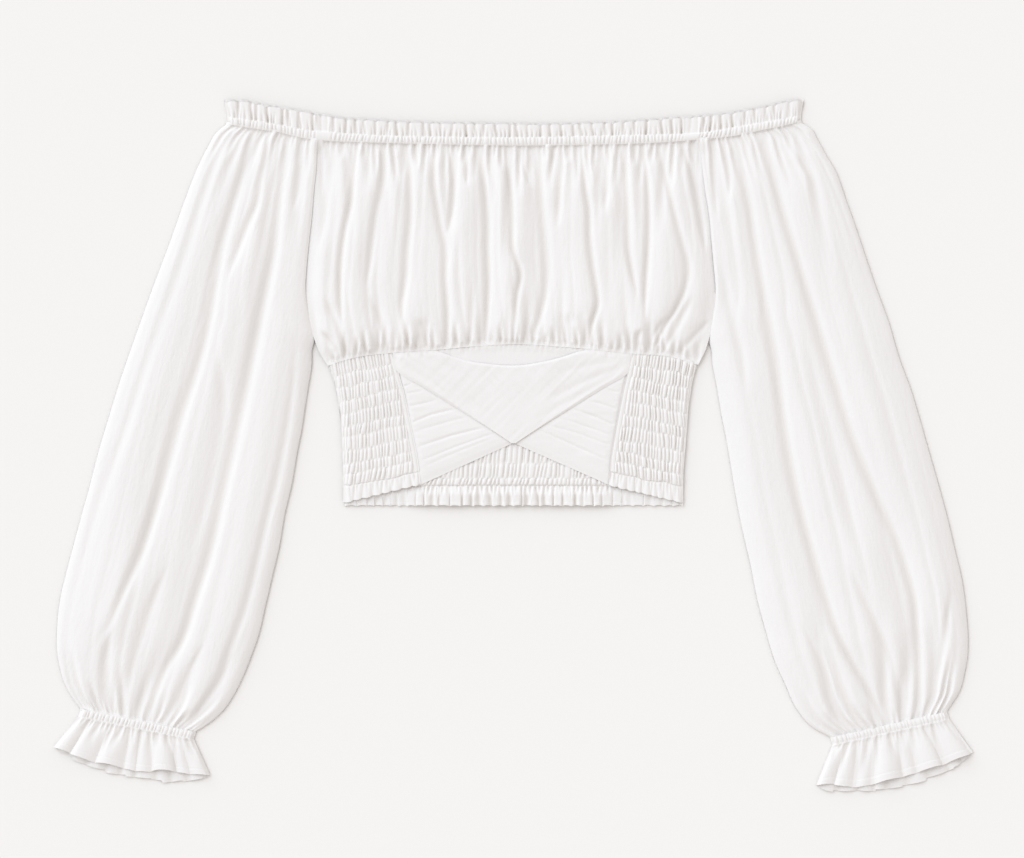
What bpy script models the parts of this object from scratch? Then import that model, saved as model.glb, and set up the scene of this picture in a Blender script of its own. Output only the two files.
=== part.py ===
"""Off-shoulder crop top laid flat and face up: cloth pieces as closed walls, front up, neck towards +Y."""

import bmesh
import bpy
import numpy as np

MM = 0.001
# Outlines are read on a plan grid, x to the right and y towards the hem, one step being this long.
PLAN_STEP = 0.88 * MM
PLAN_MIDDLE = (513.5, 444.5)

CLOTH = 1.3 * MM
SEAM_GAP = 0.34 * MM
GAP_STEPS = SEAM_GAP / PLAN_STEP
SMOCK_RISE = 0.8 * MM
BACK_TOP = CLOTH + SMOCK_RISE
FRONT_LOW = CLOTH + SEAM_GAP
SECOND_LOW = BACK_TOP + SEAM_GAP
OVERLAY_LOW = SECOND_LOW + CLOTH + SEAM_GAP

BODICE_RIDGE = 5.0 * MM
BODICE_EDGE_RIDGE = 0.4 * MM
SLEEVE_RIDGE = 6.5 * MM
SLEEVE_FOLD_RADIUS = 1.3 * MM
WRAP_RIDGE = 1.8 * MM
OVERLAY_RIDGE = 1.2 * MM
FRILL_WAVE = 2.6 * MM
CUFF_WAVE = 5.5 * MM
CUFF_BACK_WAVE = 1.2 * MM
HEM_WAVE = 1.4 * MM
CASING_WIDTH = 7.0 * MM
CASING_RISE = 0.7 * MM

FRILL_FLUTES_FRONT = 52
FRILL_FLUTES_BACK = 44
CUFF_FLUTES = 9
HEM_FLUTES = 18
SIDE_SMOCK_ROWS = 10
BACK_SMOCK_ROWS = 6

WHITE = (0.86, 0.85, 0.84, 1.0)
ROUGHNESS = 0.85

# Bodice side, armhole seam and side seam in one: y, x of the left side, x of the right side.
BODICE_SIDE = [
    (141, 316.0, 702.0), (152, 315.8, 702.3), (165, 315.5, 703.0), (190, 313.0, 706.0),
    (215, 311.0, 710.0), (242, 308.0, 712.5), (268, 305.5, 714.8), (290, 304.5, 716.5),
    (305, 306.0, 715.8), (320, 309.0, 713.0), (338, 314.0, 709.5), (352, 319.5, 705.0),
    (366, 328.0, 698.0),
]
UNDERARM_ROW = 7
SLEEVE_SEAM_ROWS = 11

# Neckline from left to right: x, y of the frill's edge, y of the casing's top, y of its lower edge.
NECKLINE = [
    (227, 102, 117, 124), (240, 102, 119, 127), (260, 105, 121.5, 130), (280, 109, 125, 133),
    (300, 112, 129, 138), (340, 119, 133, 142), (370, 121, 135, 143), (450, 124, 137, 145),
    (513, 125, 137.5, 146), (600, 123.5, 136, 145), (660, 120, 134.5, 143), (700, 117.5, 133, 140),
    (730, 114, 128, 137), (760, 109, 123, 131), (780, 104, 119.5, 127), (801, 101, 116, 122),
]

# Underbust seam from left to right: x, y.
UNDERBUST = [
    (328, 366), (350, 359), (393, 353), (437, 350), (470, 347), (513, 344.5),
    (560, 347), (585, 349), (633, 354), (670, 357), (698, 365),
]

# Troughs of the bodice's gathers: x at the neck, at one and two thirds and at the underbust, then the depth
# at each of these, 0 to 1.
BODICE_TROUGHS = [
    (334, 325, 320, 334, 0.5, 0.4, 0.3, 0.6), (357, 347, 340, 346, 1.0, 0.8, 0.6, 0.5),
    (380, 376, 367, 387, 0.8, 0.7, 0.5, 0.6), (405, 410, 403, 406, 1.0, 0.8, 0.6, 0.6),
    (435, 439, 446, 447, 0.8, 0.7, 0.9, 0.9), (452, 453, 460, 462, 0.7, 0.4, 0.1, 0.3),
    (468, 468, 473, 474, 0.5, 0.2, 0.1, 0.3), (480, 486, 488, 486, 0.8, 0.9, 1.0, 0.9),
    (505, 512, 518, 516, 0.7, 0.7, 0.6, 0.5), (519, 528, 532, 527, 0.6, 0.2, 0.1, 0.3),
    (533, 542, 545, 539, 1.0, 1.0, 1.0, 0.9), (561, 558, 560, 562, 0.7, 0.5, 0.2, 0.4),
    (580, 588, 596, 588, 0.8, 0.8, 0.8, 0.9), (601, 605, 612, 611, 0.7, 0.5, 0.2, 0.4),
    (620, 627, 633, 627, 0.9, 0.8, 0.8, 0.6), (641, 647, 648, 643, 1.0, 0.7, 0.5, 0.6),
    (659, 673, 685, 659, 0.7, 0.7, 0.7, 0.7), (681, 699, 703, 678, 0.9, 0.7, 0.4, 0.7),
]

# Outer fold of each sleeve from neck to cuff, then the free part of its inner edge: x, y.
LEFT_OUTER = [
    (226, 124.5), (218, 131), (208, 147), (198, 167), (185, 200), (169, 245), (152, 290), (136, 335),
    (122, 375), (108, 420), (99, 450), (90, 485), (83, 510), (75, 540), (67, 570), (60, 600),
    (57, 630), (57, 650), (60, 668), (64, 682), (72, 697), (80.5, 708.5),
]
LEFT_INNER = [
    (312.5, 350), (312, 365), (308, 390), (305, 410), (302, 430), (298, 450), (292, 485), (285, 515),
    (280, 545), (273, 575), (266, 605), (259, 635), (252, 655), (244, 675), (234, 695), (222, 712),
    (208, 724), (196, 731.5),
]
RIGHT_OUTER = [
    (802, 122), (810, 127), (818, 140), (826, 155), (835, 170), (846, 200), (855, 225), (865, 255),
    (877, 290), (888, 320), (900, 360), (911, 390), (920, 420), (932, 462), (940, 490), (948, 520),
    (955, 550), (962, 580), (966, 610), (968, 640), (967, 660), (964, 675), (960, 690), (947, 711),
]
RIGHT_INNER = [
    (711, 351), (712, 364), (716, 385), (721, 415), (726, 440), (731, 470), (736, 500), (742, 530),
    (750, 565), (757, 600), (765, 630), (774, 660), (785, 685), (797, 710), (812, 727), (830, 737),
]
LEFT_AXIS = ((272, 132), (138, 720))
RIGHT_AXIS = ((751.5, 130), (888.5, 724))

# Troughs along each sleeve: how deep at neck, middle and cuff, 0 to 1, then x, y of points on it.
LEFT_TROUGHS = [
    (0.0, 0.6, 0.6, [(311, 142), (305, 220), (297, 300), (296, 340), (291, 400), (278, 480), (265, 530),
                     (245, 610), (220, 680), (188, 731)]),
    (0.5, 0.1, 0.5, [(302, 138), (299, 185), (287, 250), (277, 305), (266, 370), (252, 440), (242, 480),
                     (224, 560), (208, 610), (178, 685), (168, 728)]),
    (0.8, 1.0, 0.8, [(287, 136), (286, 160), (278, 215), (263, 305), (250, 370), (235, 440), (208, 560),
                     (182, 640), (165, 670), (148, 724)]),
    (0.9, 0.1, 0.4, [(268, 133), (267, 155), (257, 205), (238, 255), (226, 305), (212, 355), (196, 410),
                     (170, 500), (140, 600), (112, 690), (122, 720)]),
    (0.9, 1.0, 0.6, [(254, 131), (250, 150), (234, 205), (213, 300), (195, 375), (172, 450), (152, 520),
                     (125, 590), (95, 655), (92, 690), (104, 716)]),
    (0.4, 0.5, 0.2, [(237, 127), (222, 150), (205, 195), (170, 300), (145, 370), (125, 430), (100, 500),
                     (78, 580), (69, 640), (75, 690), (89, 712)]),
]
RIGHT_TROUGHS = [
    (0.0, 0.6, 0.5, [(708, 141), (712, 190), (718, 250), (724, 290), (730, 330), (735, 380), (741, 430),
                     (752, 500), (770, 570), (788, 640), (808, 690), (838, 735)]),
    (0.7, 0.2, 0.5, [(718, 139), (721, 190), (731, 240), (741, 300), (752, 360), (762, 440), (775, 500),
                     (795, 565), (822, 650), (846, 700), (859, 731)]),
    (0.9, 1.0, 0.8, [(736, 137), (745, 185), (754, 240), (764, 300), (775, 360), (785, 440), (797, 500),
                     (815, 565), (845, 650), (870, 690), (884, 725)]),
    (0.9, 1.0, 0.8, [(764, 131), (774, 180), (797, 260), (812, 310), (830, 370), (852, 440), (877, 500),
                     (905, 570), (914, 630), (914, 718)]),
    (0.6, 0.1, 0.4, [(783, 127), (792, 145), (810, 175), (828, 230), (846, 290), (862, 340), (882, 410),
                     (900, 470), (918, 530), (935, 620), (930, 715)]),
    (0.2, 0.4, 0.3, [(793, 125), (804, 140), (823, 175), (847, 240), (867, 300), (892, 370), (910, 430),
                     (932, 505), (950, 580), (953, 660), (939, 713)]),
]
# Rings below the armhole, as shares of the free length from there to the cuff.
SLEEVE_RINGS = (0.06, 0.15, 0.25, 0.36, 0.48, 0.6, 0.71, 0.8, 0.88, 0.94, 1.0)
SLEEVE_BACK_COLUMNS = 6

# Front and back hem of each cuff ruffle from the inner end to the outer: x, y.
LEFT_HEM_FRONT = [
    (210, 775), (190, 774), (170, 771), (137, 771), (115, 766), (90, 761), (70, 753), (54, 747),
]
LEFT_HEM_BACK = [
    (208, 777), (190, 780), (165, 781), (152, 779), (112, 772), (85, 763), (70, 756), (56, 749),
]
RIGHT_HEM_FRONT = [
    (816, 785), (832, 784), (852, 787), (878, 783), (898, 778), (925, 770), (950, 762), (973, 752),
]
RIGHT_HEM_BACK = [
    (818, 787), (830, 790), (855, 790), (890, 788), (915, 782), (940, 773), (958, 765), (971, 755),
]
# How far the ruffle has opened at each row between casing and hem.
RUFFLE_ROWS = ((0.0, 0.0), (0.3, 0.38), (0.65, 0.75), (1.0, 1.0))

# Sections of the shirred side panels: outer x, y, inner x, y.
SIDE_LEFT = [
    (329, 366.4, 393.5, 353.8), (334, 380, 397, 367), (337.5, 396, 401, 381), (340.5, 412, 405.3, 396),
    (342, 440, 411.5, 426), (343, 470, 417.3, 455), (343, 484, 419.5, 471), (343, 503, 421, 484),
]
SIDE_RIGHT = [
    (697, 365.6, 631.8, 354.6), (693, 380, 628.6, 368), (690, 396, 625, 382), (688, 412, 621.6, 397),
    (686, 440, 615.8, 427), (683.5, 470, 611, 455), (683, 484, 609.6, 471), (683, 503, 608.5, 485),
]
SIDE_RUFFLE_FROM = 0.87

# Wrap panels: seam x, y, then x, y of the edge tucked under the overlay.
WRAP_LEFT = [
    (395.5, 358, 428, 360), (402, 381, 443, 375), (407.5, 401, 462, 394), (412.7, 426, 484, 414),
    (418.2, 454, 501, 431), (422.3, 484, 512.2, 443.5),
]
WRAP_RIGHT = [
    (629.8, 358, 597, 360), (623.4, 381, 582, 375), (618.8, 401, 563, 394), (614.2, 426, 541, 414),
    (609.4, 454, 524, 431), (607, 484, 514.8, 443.5),
]
# Pleats of the wraps: x, y at the seam, x, y at the open end, how deep from 0 to 1.
LEFT_PLEATS = [
    (403, 387, 411, 384, 0.5), (404, 394, 422, 391, 0.6), (408, 407, 437, 400, 0.6),
    (411, 423, 455, 409, 1.0), (413, 432, 466, 417, 0.5), (415, 448, 486, 427, 1.0),
    (418, 464, 496, 434, 0.6),
]
RIGHT_PLEATS = [
    (621, 393, 606, 389, 0.5), (620, 410, 590, 401, 0.8), (618, 427, 573, 409, 1.0),
    (615, 437, 560, 418, 0.7), (613, 448, 548, 425, 0.6), (611, 462, 538, 431, 0.9),
]

# Overlay: left x, y, right x, y from its upper edge to the tip, and its scooped upper edge as x, y.
OVERLAY = [
    (395.3, 353.9, 629.6, 354.5), (399.8, 371.5, 625.4, 373), (425, 388.5, 600, 390),
    (455, 407.2, 571, 408.3), (484, 425.5, 542, 426.5), (511.5, 443.2, 515.5, 443.2),
]
OVERLAY_TOP = [
    (395.3, 353.9), (437, 351.2), (452, 356), (468.5, 361), (490, 364), (510, 365.5), (527, 364.5),
    (541, 362), (562, 357), (581, 351), (606, 352), (629.6, 354.5),
]
# Creases of the overlay: x, y of both ends, how deep from 0 to 1.
OVERLAY_CREASES = [
    (402, 362, 470, 408, 0.8), (412, 358, 500, 424, 0.5), (424, 356, 470, 380, 0.4),
    (625, 360, 560, 372, 0.5), (627, 364, 556, 396, 0.9), (626, 369, 540, 416, 0.8),
]

# Underlay: x, y of its upper edge, held in the seam, and of its lower edge.
UNDERLAY = [
    (440, 350.4, 460, 376), (462, 348.4, 478, 379), (486, 346.9, 496, 380.5), (513, 345.4, 513, 381),
    (540, 346.6, 530, 380.5), (562, 348.2, 548, 379), (582, 349.8, 564, 376),
]

# Back of the lower band: left x, y, right x, y from the seam to the hem.
BACK_BAND = [
    (328.6, 366.8, 697.4, 366), (336, 390, 690.5, 390), (341, 425, 687, 425), (342.5, 460, 684.2, 460),
    (343.4, 486, 682.6, 486), (344, 505.5, 682, 505.5),
]
BACK_RUFFLE_FROM = 0.86
# Half width of the hem's part that the front leaves uncovered, and the steps over which its flutes fade out.
HEM_SHOWN = 80
HEM_FADE = 10
# How far the hem bulges between flutes, in steps.
HEM_BULGE = 2.0

# How much of a ridge a full trough takes away.
BODICE_TROUGH = 0.85
SLEEVE_TROUGH = 0.8
PLEAT_TROUGH = 0.9
# Half widths of pleats and creases, in steps.
PLEAT_WIDTH = 4.0
CREASE_WIDTH = 5.0
# How far a wrap's pleats stop short of the overlay's edge, in steps.
WRAP_MARGIN = 3.0
# How high a sleeve stands: share of its length, share of its ridge.
SLEEVE_CROWN = [(0, 0.45), (0.1, 0.6), (0.5, 0.85), (0.85, 1.0), (1, 0.55)]
# How high a side panel swells in its ruffle, and how much more or less on alternate columns of its hem.
SIDE_RUFFLE_SWELL = ((0.94, 0.6), (1.0, 0.9))
SIDE_HEM_SWELL = (0.4, 1.6)
BACK_RUFFLE_SWELL = ((0.93, 0.4), (1.0, 0.6))
# Scallops of the frill's edge and how far the back layer's edge stands above the front's, in steps.
FRILL_SCALLOP = 0.9
FRILL_BACK_ABOVE = 1.2
# Height of the frill's flutes at its edge, at the casing's top and at its lower edge, as shares.
FRILL_FAN = (1.0, 0.25, 0.0)
# How far a cuff's hem drops between its ridges, as a share of the flutes' height.
CUFF_HEM_DROP = 0.25
# How far the front of a cuff is held off its back at each row from casing to hem.
CUFF_LIFT = (0, 0, 0.4, 0.8, 1)

BACK_BODICE_COLUMNS = 20
SIDE_COLUMNS = 9
WRAP_ROWS = 17
WRAP_OPEN_COLUMNS = 6
OVERLAY_ROWS, OVERLAY_COLUMNS = 9, 15
UNDERLAY_ROWS = 3


def plan(x, y):
    """Metres, with +X to the right and +Y towards the neck, from steps of the plan grid."""
    middle_x, middle_y = PLAN_MIDDLE
    return (np.asarray(x, float) - middle_x) * PLAN_STEP, (middle_y - np.asarray(y, float)) * PLAN_STEP


def spline(at, xs, ys):
    """A smooth curve through the points xs, ys, at the places `at`."""
    xs, ys = np.asarray(xs, float), np.asarray(ys, float)
    at = np.clip(at, xs[0], xs[-1])
    slope = np.gradient(ys, xs)
    i = np.clip(np.searchsorted(xs, at) - 1, 0, len(xs) - 2)
    span = xs[i + 1] - xs[i]
    t = (at - xs[i]) / span
    start = ys[i] * (1 + 2 * t) * (1 - t) ** 2 + slope[i] * span * t * (1 - t) ** 2
    return start + ys[i + 1] * t * t * (3 - 2 * t) + slope[i + 1] * span * t * t * (t - 1)


def line_at(shares, points):
    """Points at these shares of a line's length."""
    points = np.asarray(points, float)
    steps = np.linalg.norm(np.diff(points, axis=0), axis=1)
    run = np.concatenate([[0], np.cumsum(steps)])
    return np.stack([spline(np.asarray(shares) * run[-1], run, points[:, k]) for k in (0, 1)], axis=-1)


def section_grid(sections, across, down):
    """Plan x, y of a sheet between the two edges that the section table holds."""
    table = np.asarray(sections, float)
    rows = np.linspace(0, 1, len(table))
    edges = [spline(np.asarray(down), rows, table[:, k])[:, None] for k in range(4)]
    across = np.asarray(across)[None, :]
    return edges[0] + (edges[2] - edges[0]) * across, edges[1] + (edges[3] - edges[1]) * across


def fold_depth(x, y, folds, width):
    """How far a point lies in any of the folds, each given by both its ends and its depth."""
    depth = np.zeros(np.shape(x))
    for x0, y0, x1, y1, deep in folds:
        ax, ay = x1 - x0, y1 - y0
        t = np.clip(((x - x0) * ax + (y - y0) * ay) / (ax * ax + ay * ay), 0, 1)
        away = np.hypot(x - x0 - ax * t, y - y0 - ay * t)
        depth = np.maximum(depth, deep * np.exp(-((away / width) ** 2)))
    return depth


def bump(share):
    """1 in the middle of a sheet, falling to 0 at both edges."""
    return 1 - np.abs(2 * np.asarray(share) - 1) ** 4


def wave(turns):
    """0 at whole turns and 1 half way between them."""
    return 0.5 - 0.5 * np.cos(2 * np.pi * np.asarray(turns))


pieces = {}


def wall(name, outer, inner, joined_from=None):
    """Closes a cloth wall between two grids. From row joined_from on, the last column meets the first."""
    rows, cols = outer.shape[:2]
    index = np.arange(rows * cols).reshape(rows, cols)
    inside = rows * cols
    faces = []

    def joined(row):
        return joined_from is not None and row >= joined_from

    def patch(a, b, c, d):
        faces.extend([(a, b, c), (a, c, d)])

    def rim(a, b):
        patch(a, b, b + inside, a + inside)

    for r in range(rows - 1):
        for c in range(cols - 1 + joined(r)):
            n = (c + 1) % cols
            corners = index[r, c], index[r + 1, c], index[r + 1, n], index[r, n]
            patch(*corners)
            patch(*(i + inside for i in corners))
        if not joined(r):
            rim(index[r, 0], index[r + 1, 0])
            rim(index[r, -1], index[r + 1, -1])
    for c in range(cols - 1 + joined(0)):
        rim(index[0, c], index[0, (c + 1) % cols])
    for c in range(cols - 1 + joined(rows - 1)):
        rim(index[-1, c], index[-1, (c + 1) % cols])
    if joined_from:
        rim(index[joined_from, -1], index[joined_from, 0])
    pieces[name] = (np.concatenate([outer.reshape(-1, 3), inner.reshape(-1, 3)]), faces)


def sheet(name, x, y, low, high):
    """A single layer from plan x, y and the heights of its two faces in metres."""
    px, py = plan(x, y)
    shape = np.broadcast(px, py, low, high).shape
    faces = [np.stack(np.broadcast_arrays(px, py, z), axis=-1) for z in (high, low)]
    wall(name, faces[0].reshape(*shape, 3), faces[1].reshape(*shape, 3))


def neck_edge(x):
    """Plan y of the casing's lower edge."""
    xs, _, _, low = np.transpose(NECKLINE)
    return spline(x, xs, low)


def underbust(x):
    """Plan y of the seam below the bust."""
    return spline(x, *np.transpose(UNDERBUST))


def bodice_rows(columns):
    """Plan x, y of a bodice sheet; columns(row share, left, right) gives its x values."""
    ys, lefts, rights = np.transpose(BODICE_SIDE)
    grid_x, grid_y = [], []
    for y, left, right in zip(ys, lefts, rights):
        share = (y - ys[0]) / (ys[-1] - ys[0])
        x = columns(share, left + GAP_STEPS / 2, right - GAP_STEPS / 2)
        top, foot = neck_edge(x) + GAP_STEPS, underbust(x) - GAP_STEPS / 2
        grid_x.append(x)
        grid_y.append(top + (foot - top) * share)
    return np.array(grid_x), np.array(grid_y)


def make_bodice():
    """Front of the bodice with a column on each trough and each ridge, and its flat back."""
    troughs = np.asarray(BODICE_TROUGHS, float)
    stations = np.linspace(0, 1, 4)

    def columns(share, left, right):
        low = [spline(share, stations, row[:4]) for row in troughs]
        ends = np.array([left, *low, right])
        mids = (ends[1:] + ends[:-1]) / 2
        line = np.empty(len(ends) + len(mids))
        line[0::2], line[1::2] = ends, mids
        return line

    x, y = bodice_rows(columns)
    shares = (y - y[0]) / (y[-1] - y[0])
    ridge = BODICE_RIDGE * (0.45 + 0.55 * np.sin(np.pi * np.clip(shares * 0.9 + 0.05, 0, 1)))
    across = np.linspace(0, 1, x.shape[1])[None, :]
    high = BODICE_EDGE_RIDGE + ridge * bump(across) ** 0.5
    for k, row in enumerate(troughs):
        depth = np.interp(shares[:, 2 * k + 2], stations, row[4:])
        high[:, 2 * k + 2] *= 1 - BODICE_TROUGH * depth
    low = FRONT_LOW + high + (SECOND_LOW - FRONT_LOW) * shares**4
    sheet("front_bodice", x, y, low, low + CLOTH)

    x, y = bodice_rows(lambda share, left, right: np.linspace(left, right, BACK_BODICE_COLUMNS))
    sheet("back_bodice", x, y, 0.0, CLOTH)


def sleeve_frame(axis, body_side):
    """Start, direction down the sleeve and direction towards the body."""
    start, end = (np.array(plan(*p)) for p in axis)
    down = (end - start) / np.linalg.norm(end - start)
    across = np.array([-down[1], down[0]]) * body_side
    return start, down, across


def project(points, frame):
    """Distance down the sleeve and distance towards the body of plan points."""
    start, down, across = frame
    offset = np.stack(plan(*np.transpose(np.asarray(points, float))), axis=-1) - start
    return offset @ down, offset @ across


def make_sleeve(name, axis, body_side, outer, inner, troughs, side_column):
    """Front and back of a sleeve round its outer fold, open along the armhole; returns its cuff's start."""
    frame = sleeve_frame(axis, body_side)
    start, down, across = frame
    gap = -body_side * GAP_STEPS / 2
    seam = [(row[side_column] + gap, row[0]) for row in BODICE_SIDE[:SLEEVE_SEAM_ROWS]]
    seam[0] = (seam[0][0], float(neck_edge(seam[0][0])) + GAP_STEPS)
    free = project([seam[-1], *inner], frame)
    seam_along, seam_across = project(seam, frame)
    free_along = free[0][0] + (free[0][-1] - free[0][0]) * np.array(SLEEVE_RINGS)
    along = np.concatenate([seam_along, free_along])
    inner_edge = np.concatenate([seam_across, spline(free_along, *free)])
    outer_edge = spline(along, *project(outer, frame))
    length = along[-1]

    lines, depths = [], []
    for neck, middle, cuff, points in troughs:
        lines.append(spline(along, *project(points, frame)))
        depths.append(np.interp(along / length, (0, 0.5, 1), (neck, middle, cuff)))
    ends = np.array([inner_edge, *lines, outer_edge + SLEEVE_FOLD_RADIUS])
    mids = (ends[1:] + ends[:-1]) / 2
    front = np.empty((len(ends) + len(mids), len(along)))
    front[0::2], front[1::2] = ends, mids
    share = (front - inner_edge) / (outer_edge - inner_edge)
    crown = SLEEVE_RIDGE * np.interp(along / length, *np.transpose(SLEEVE_CROWN))
    high = BODICE_EDGE_RIDGE + crown * bump(share) ** 0.7
    for k, depth in enumerate(depths):
        high[2 * k + 2] *= 1 - SLEEVE_TROUGH * depth
    high += FRONT_LOW + CLOTH

    back = np.linspace(1, 0, SLEEVE_BACK_COLUMNS)[:, None]
    fold = outer_edge + SLEEVE_FOLD_RADIUS
    back_across = fold + (inner_edge - fold) * (1 - back)
    fold_z = np.full((1, len(along)), (CLOTH + FRONT_LOW) / 2)
    columns_across = np.concatenate([front, outer_edge[None], back_across]).T
    outer_z = np.concatenate([high, fold_z, np.zeros_like(back_across)]).T
    inner_z = np.concatenate([high - CLOTH, fold_z, np.full_like(back_across, CLOTH)]).T
    inset = np.zeros_like(columns_across)
    inset[:, len(front)] = CLOTH
    inset[UNDERARM_ROW:, 0] = inset[UNDERARM_ROW:, -1] = -CLOTH

    def points(offset, z):
        place = start + along[:, None, None] * down + (columns_across + offset)[..., None] * across
        place[0, :, 1] = plan(0, neck_edge(place[0, :, 0] / PLAN_STEP + PLAN_MIDDLE[0]) + GAP_STEPS)[1]
        return np.concatenate([place, z[..., None]], axis=-1)

    wall(name, points(0.0, outer_z), points(inset, inner_z), joined_from=UNDERARM_ROW)
    edge = start + length * down
    return edge + inner_edge[-1] * across, edge + outer_edge[-1] * across, down


def make_cuff(name, ends, hem_front, hem_back):
    """Elastic casing and ruffle at the end of a sleeve, front layer and back layer in one ring."""
    inner_end, outer_end, down = ends
    count = CUFF_FLUTES * 4 + 1
    share = np.linspace(0, 1, count)
    turns = share * CUFF_FLUTES
    top = inner_end + (outer_end - inner_end) * share[:, None] + SEAM_GAP * down
    layers = []
    for hem, waves, low in ((hem_front, CUFF_WAVE, FRONT_LOW), (hem_back, CUFF_BACK_WAVE, 0.0)):
        foot = np.stack(plan(*line_at(share, hem).T), axis=-1)
        rows, heights = [top], [np.zeros(count)]
        for run, opened in RUFFLE_ROWS:
            casing = top + CASING_WIDTH * down
            drop = down * CUFF_WAVE * CUFF_HEM_DROP * wave(turns)[:, None]
            rows.append(casing + (foot - casing) * run + drop * run)
            heights.append(waves * wave(turns) * opened * bump(share) ** 0.6)
        rise = CASING_RISE * np.array([0, 1, 1, 1, 1])[:, None]
        layers.append((np.array(rows), np.array(heights) + rise * (low > 0), low))
    (front, front_z, low), (back, back_z, _) = layers
    lift = CUFF_BACK_WAVE * np.array(CUFF_LIFT)[:, None]
    front_low = np.dstack([front, front_z + low + lift])
    front_high = np.dstack([front, front_z + low + lift + CLOTH])
    back_low = np.dstack([back, np.zeros_like(back_z)])[:, ::-1]
    back_high = np.dstack([back, back_z + CLOTH])[:, ::-1]
    outer = np.concatenate([front_high, back_low], axis=1)
    inner = np.concatenate([front_low, back_high], axis=1)
    unit = (outer_end - inner_end) / np.linalg.norm(outer_end - inner_end)
    for column, sign in ((0, 1), (count - 1, -1), (count, -1), (2 * count - 1, 1)):
        inner[:, column, :2] += sign * unit * CLOTH
    wall(name, outer, inner, joined_from=0)


def make_neck_casing():
    """Casing and standing frill all round the neckline: front layer and back layer in one ring."""
    xs, frill, casing, low = np.transpose(NECKLINE)
    layers = []
    for flutes, base in ((FRILL_FLUTES_FRONT, SECOND_LOW), (FRILL_FLUTES_BACK, 0.0)):
        x = np.linspace(xs[0], xs[-1], flutes * 2 + 1)
        turns = np.arange(len(x)) / 2
        back = base == 0.0
        edge = spline(x, xs, frill) + FRILL_SCALLOP * wave(turns) - FRILL_BACK_ABOVE * back
        ys = np.array([edge, spline(x, xs, casing), spline(x, xs, low)])
        px, py = plan(np.broadcast_to(x, ys.shape), ys)
        ends = bump(np.linspace(0, 1, len(x))) ** 0.5
        high = np.array(FRILL_FAN)[:, None] * wave(turns) * ends
        high = high * (SMOCK_RISE if back else FRILL_WAVE)
        layers.append((px, py, high, base))
    (fx, fy, fz, base), (bx, by, bz, _) = layers
    thick = np.array([CLOTH, CLOTH + CASING_RISE, CLOTH + CASING_RISE / 2])[:, None]
    back_low, back_high = (np.dstack([bx, by, z])[:, ::-1] for z in (0 * bz, bz + CLOTH))
    outer = np.concatenate([np.dstack([fx, fy, base + fz + thick]), back_low], axis=1)
    inner = np.concatenate([np.dstack([fx, fy, base + fz]), back_high], axis=1)
    front_count, count = fx.shape[1], fx.shape[1] + bx.shape[1]
    for column, sign in ((0, 1), (front_count - 1, -1), (front_count, -1), (count - 1, 1)):
        inner[:, column, 0] += sign * CLOTH
    wall("neck_casing", outer, inner, joined_from=0)


def shirring(ruffle_from, smock_rows, ruffle):
    """Row shares of a shirred panel and how far it swells at each: not on the stitch rows, fully between."""
    rows, swell = np.transpose(ruffle)
    rows = np.concatenate([np.linspace(0, ruffle_from, 2 * smock_rows + 1), rows])
    return rows, np.concatenate([np.arange(2 * smock_rows + 1) % 2, swell])


def make_side_panel(name, sections):
    """Shirred panel at one side of the lower band, gathered on rows and loose below the last one."""
    rows, swell = shirring(SIDE_RUFFLE_FROM, SIDE_SMOCK_ROWS, SIDE_RUFFLE_SWELL)
    across = np.linspace(0, 1, SIDE_COLUMNS)
    x, y = section_grid(sections, across, rows)
    swell = swell[:, None] * np.ones((1, SIDE_COLUMNS))
    swell[-1] *= np.where(np.arange(SIDE_COLUMNS) % 2, *reversed(SIDE_HEM_SWELL))
    sheet(name, x, y, SECOND_LOW, SECOND_LOW + CLOTH + SMOCK_RISE * swell)


def make_wrap_panel(name, sections, pleats, edge):
    """A wrap panel, raised in pleats as far as the overlay's edge (x, y of both ends) and flat under it."""
    rows = np.linspace(0, 1, WRAP_ROWS)
    table = np.asarray(sections, float)
    stations = np.linspace(0, 1, len(table))
    seam_x, seam_y, tuck_x, tuck_y = (spline(rows, stations, table[:, k])[:, None] for k in range(4))
    x0, y0, x1, y1 = edge
    slope = (y1 - y0) / (x1 - x0)
    below = [y - y0 - slope * (x - x0) - WRAP_MARGIN for x, y in ((seam_x, seam_y), (tuck_x, tuck_y))]
    meets = np.clip(below[0] / (below[0] - below[1]), 0.08, 0.9)
    open_part, hidden = np.linspace(0, 1, WRAP_OPEN_COLUMNS)[None, :], np.array([[0.5, 1.0]])
    across = np.concatenate([meets * open_part, meets + (1 - meets) * hidden], axis=1)
    x, y = seam_x + (tuck_x - seam_x) * across, seam_y + (tuck_y - seam_y) * across
    raised = np.concatenate([bump(open_part * 0.85 + 0.075), [[0, 0]]], axis=1) * (below[0] > 0)
    raised[:, WRAP_OPEN_COLUMNS - 1] = 0
    high = WRAP_RIDGE * (1 - PLEAT_TROUGH * fold_depth(x, y, pleats, PLEAT_WIDTH)) * raised
    sheet(name, x, y, SECOND_LOW, SECOND_LOW + CLOTH + high)


def make_overlay():
    """Centre panel over both wraps, scooped at its upper edge and pointed below."""
    rows, across = np.linspace(0, 1, OVERLAY_ROWS), np.linspace(0, 1, OVERLAY_COLUMNS)
    x, y = section_grid(OVERLAY, across, rows)
    top = line_at(across, OVERLAY_TOP)
    fade = (1 - rows[:, None]) ** 2
    x, y = x + (top[:, 0] - x[0]) * fade, y + (top[:, 1] - y[0]) * fade
    swell = bump(across) * np.sin(np.pi * (0.15 + 0.85 * rows))[:, None]
    high = OVERLAY_RIDGE * (1 - fold_depth(x, y, OVERLAY_CREASES, CREASE_WIDTH)) * swell
    sheet("centre_overlay", x, y, OVERLAY_LOW, OVERLAY_LOW + CLOTH + high)


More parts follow.
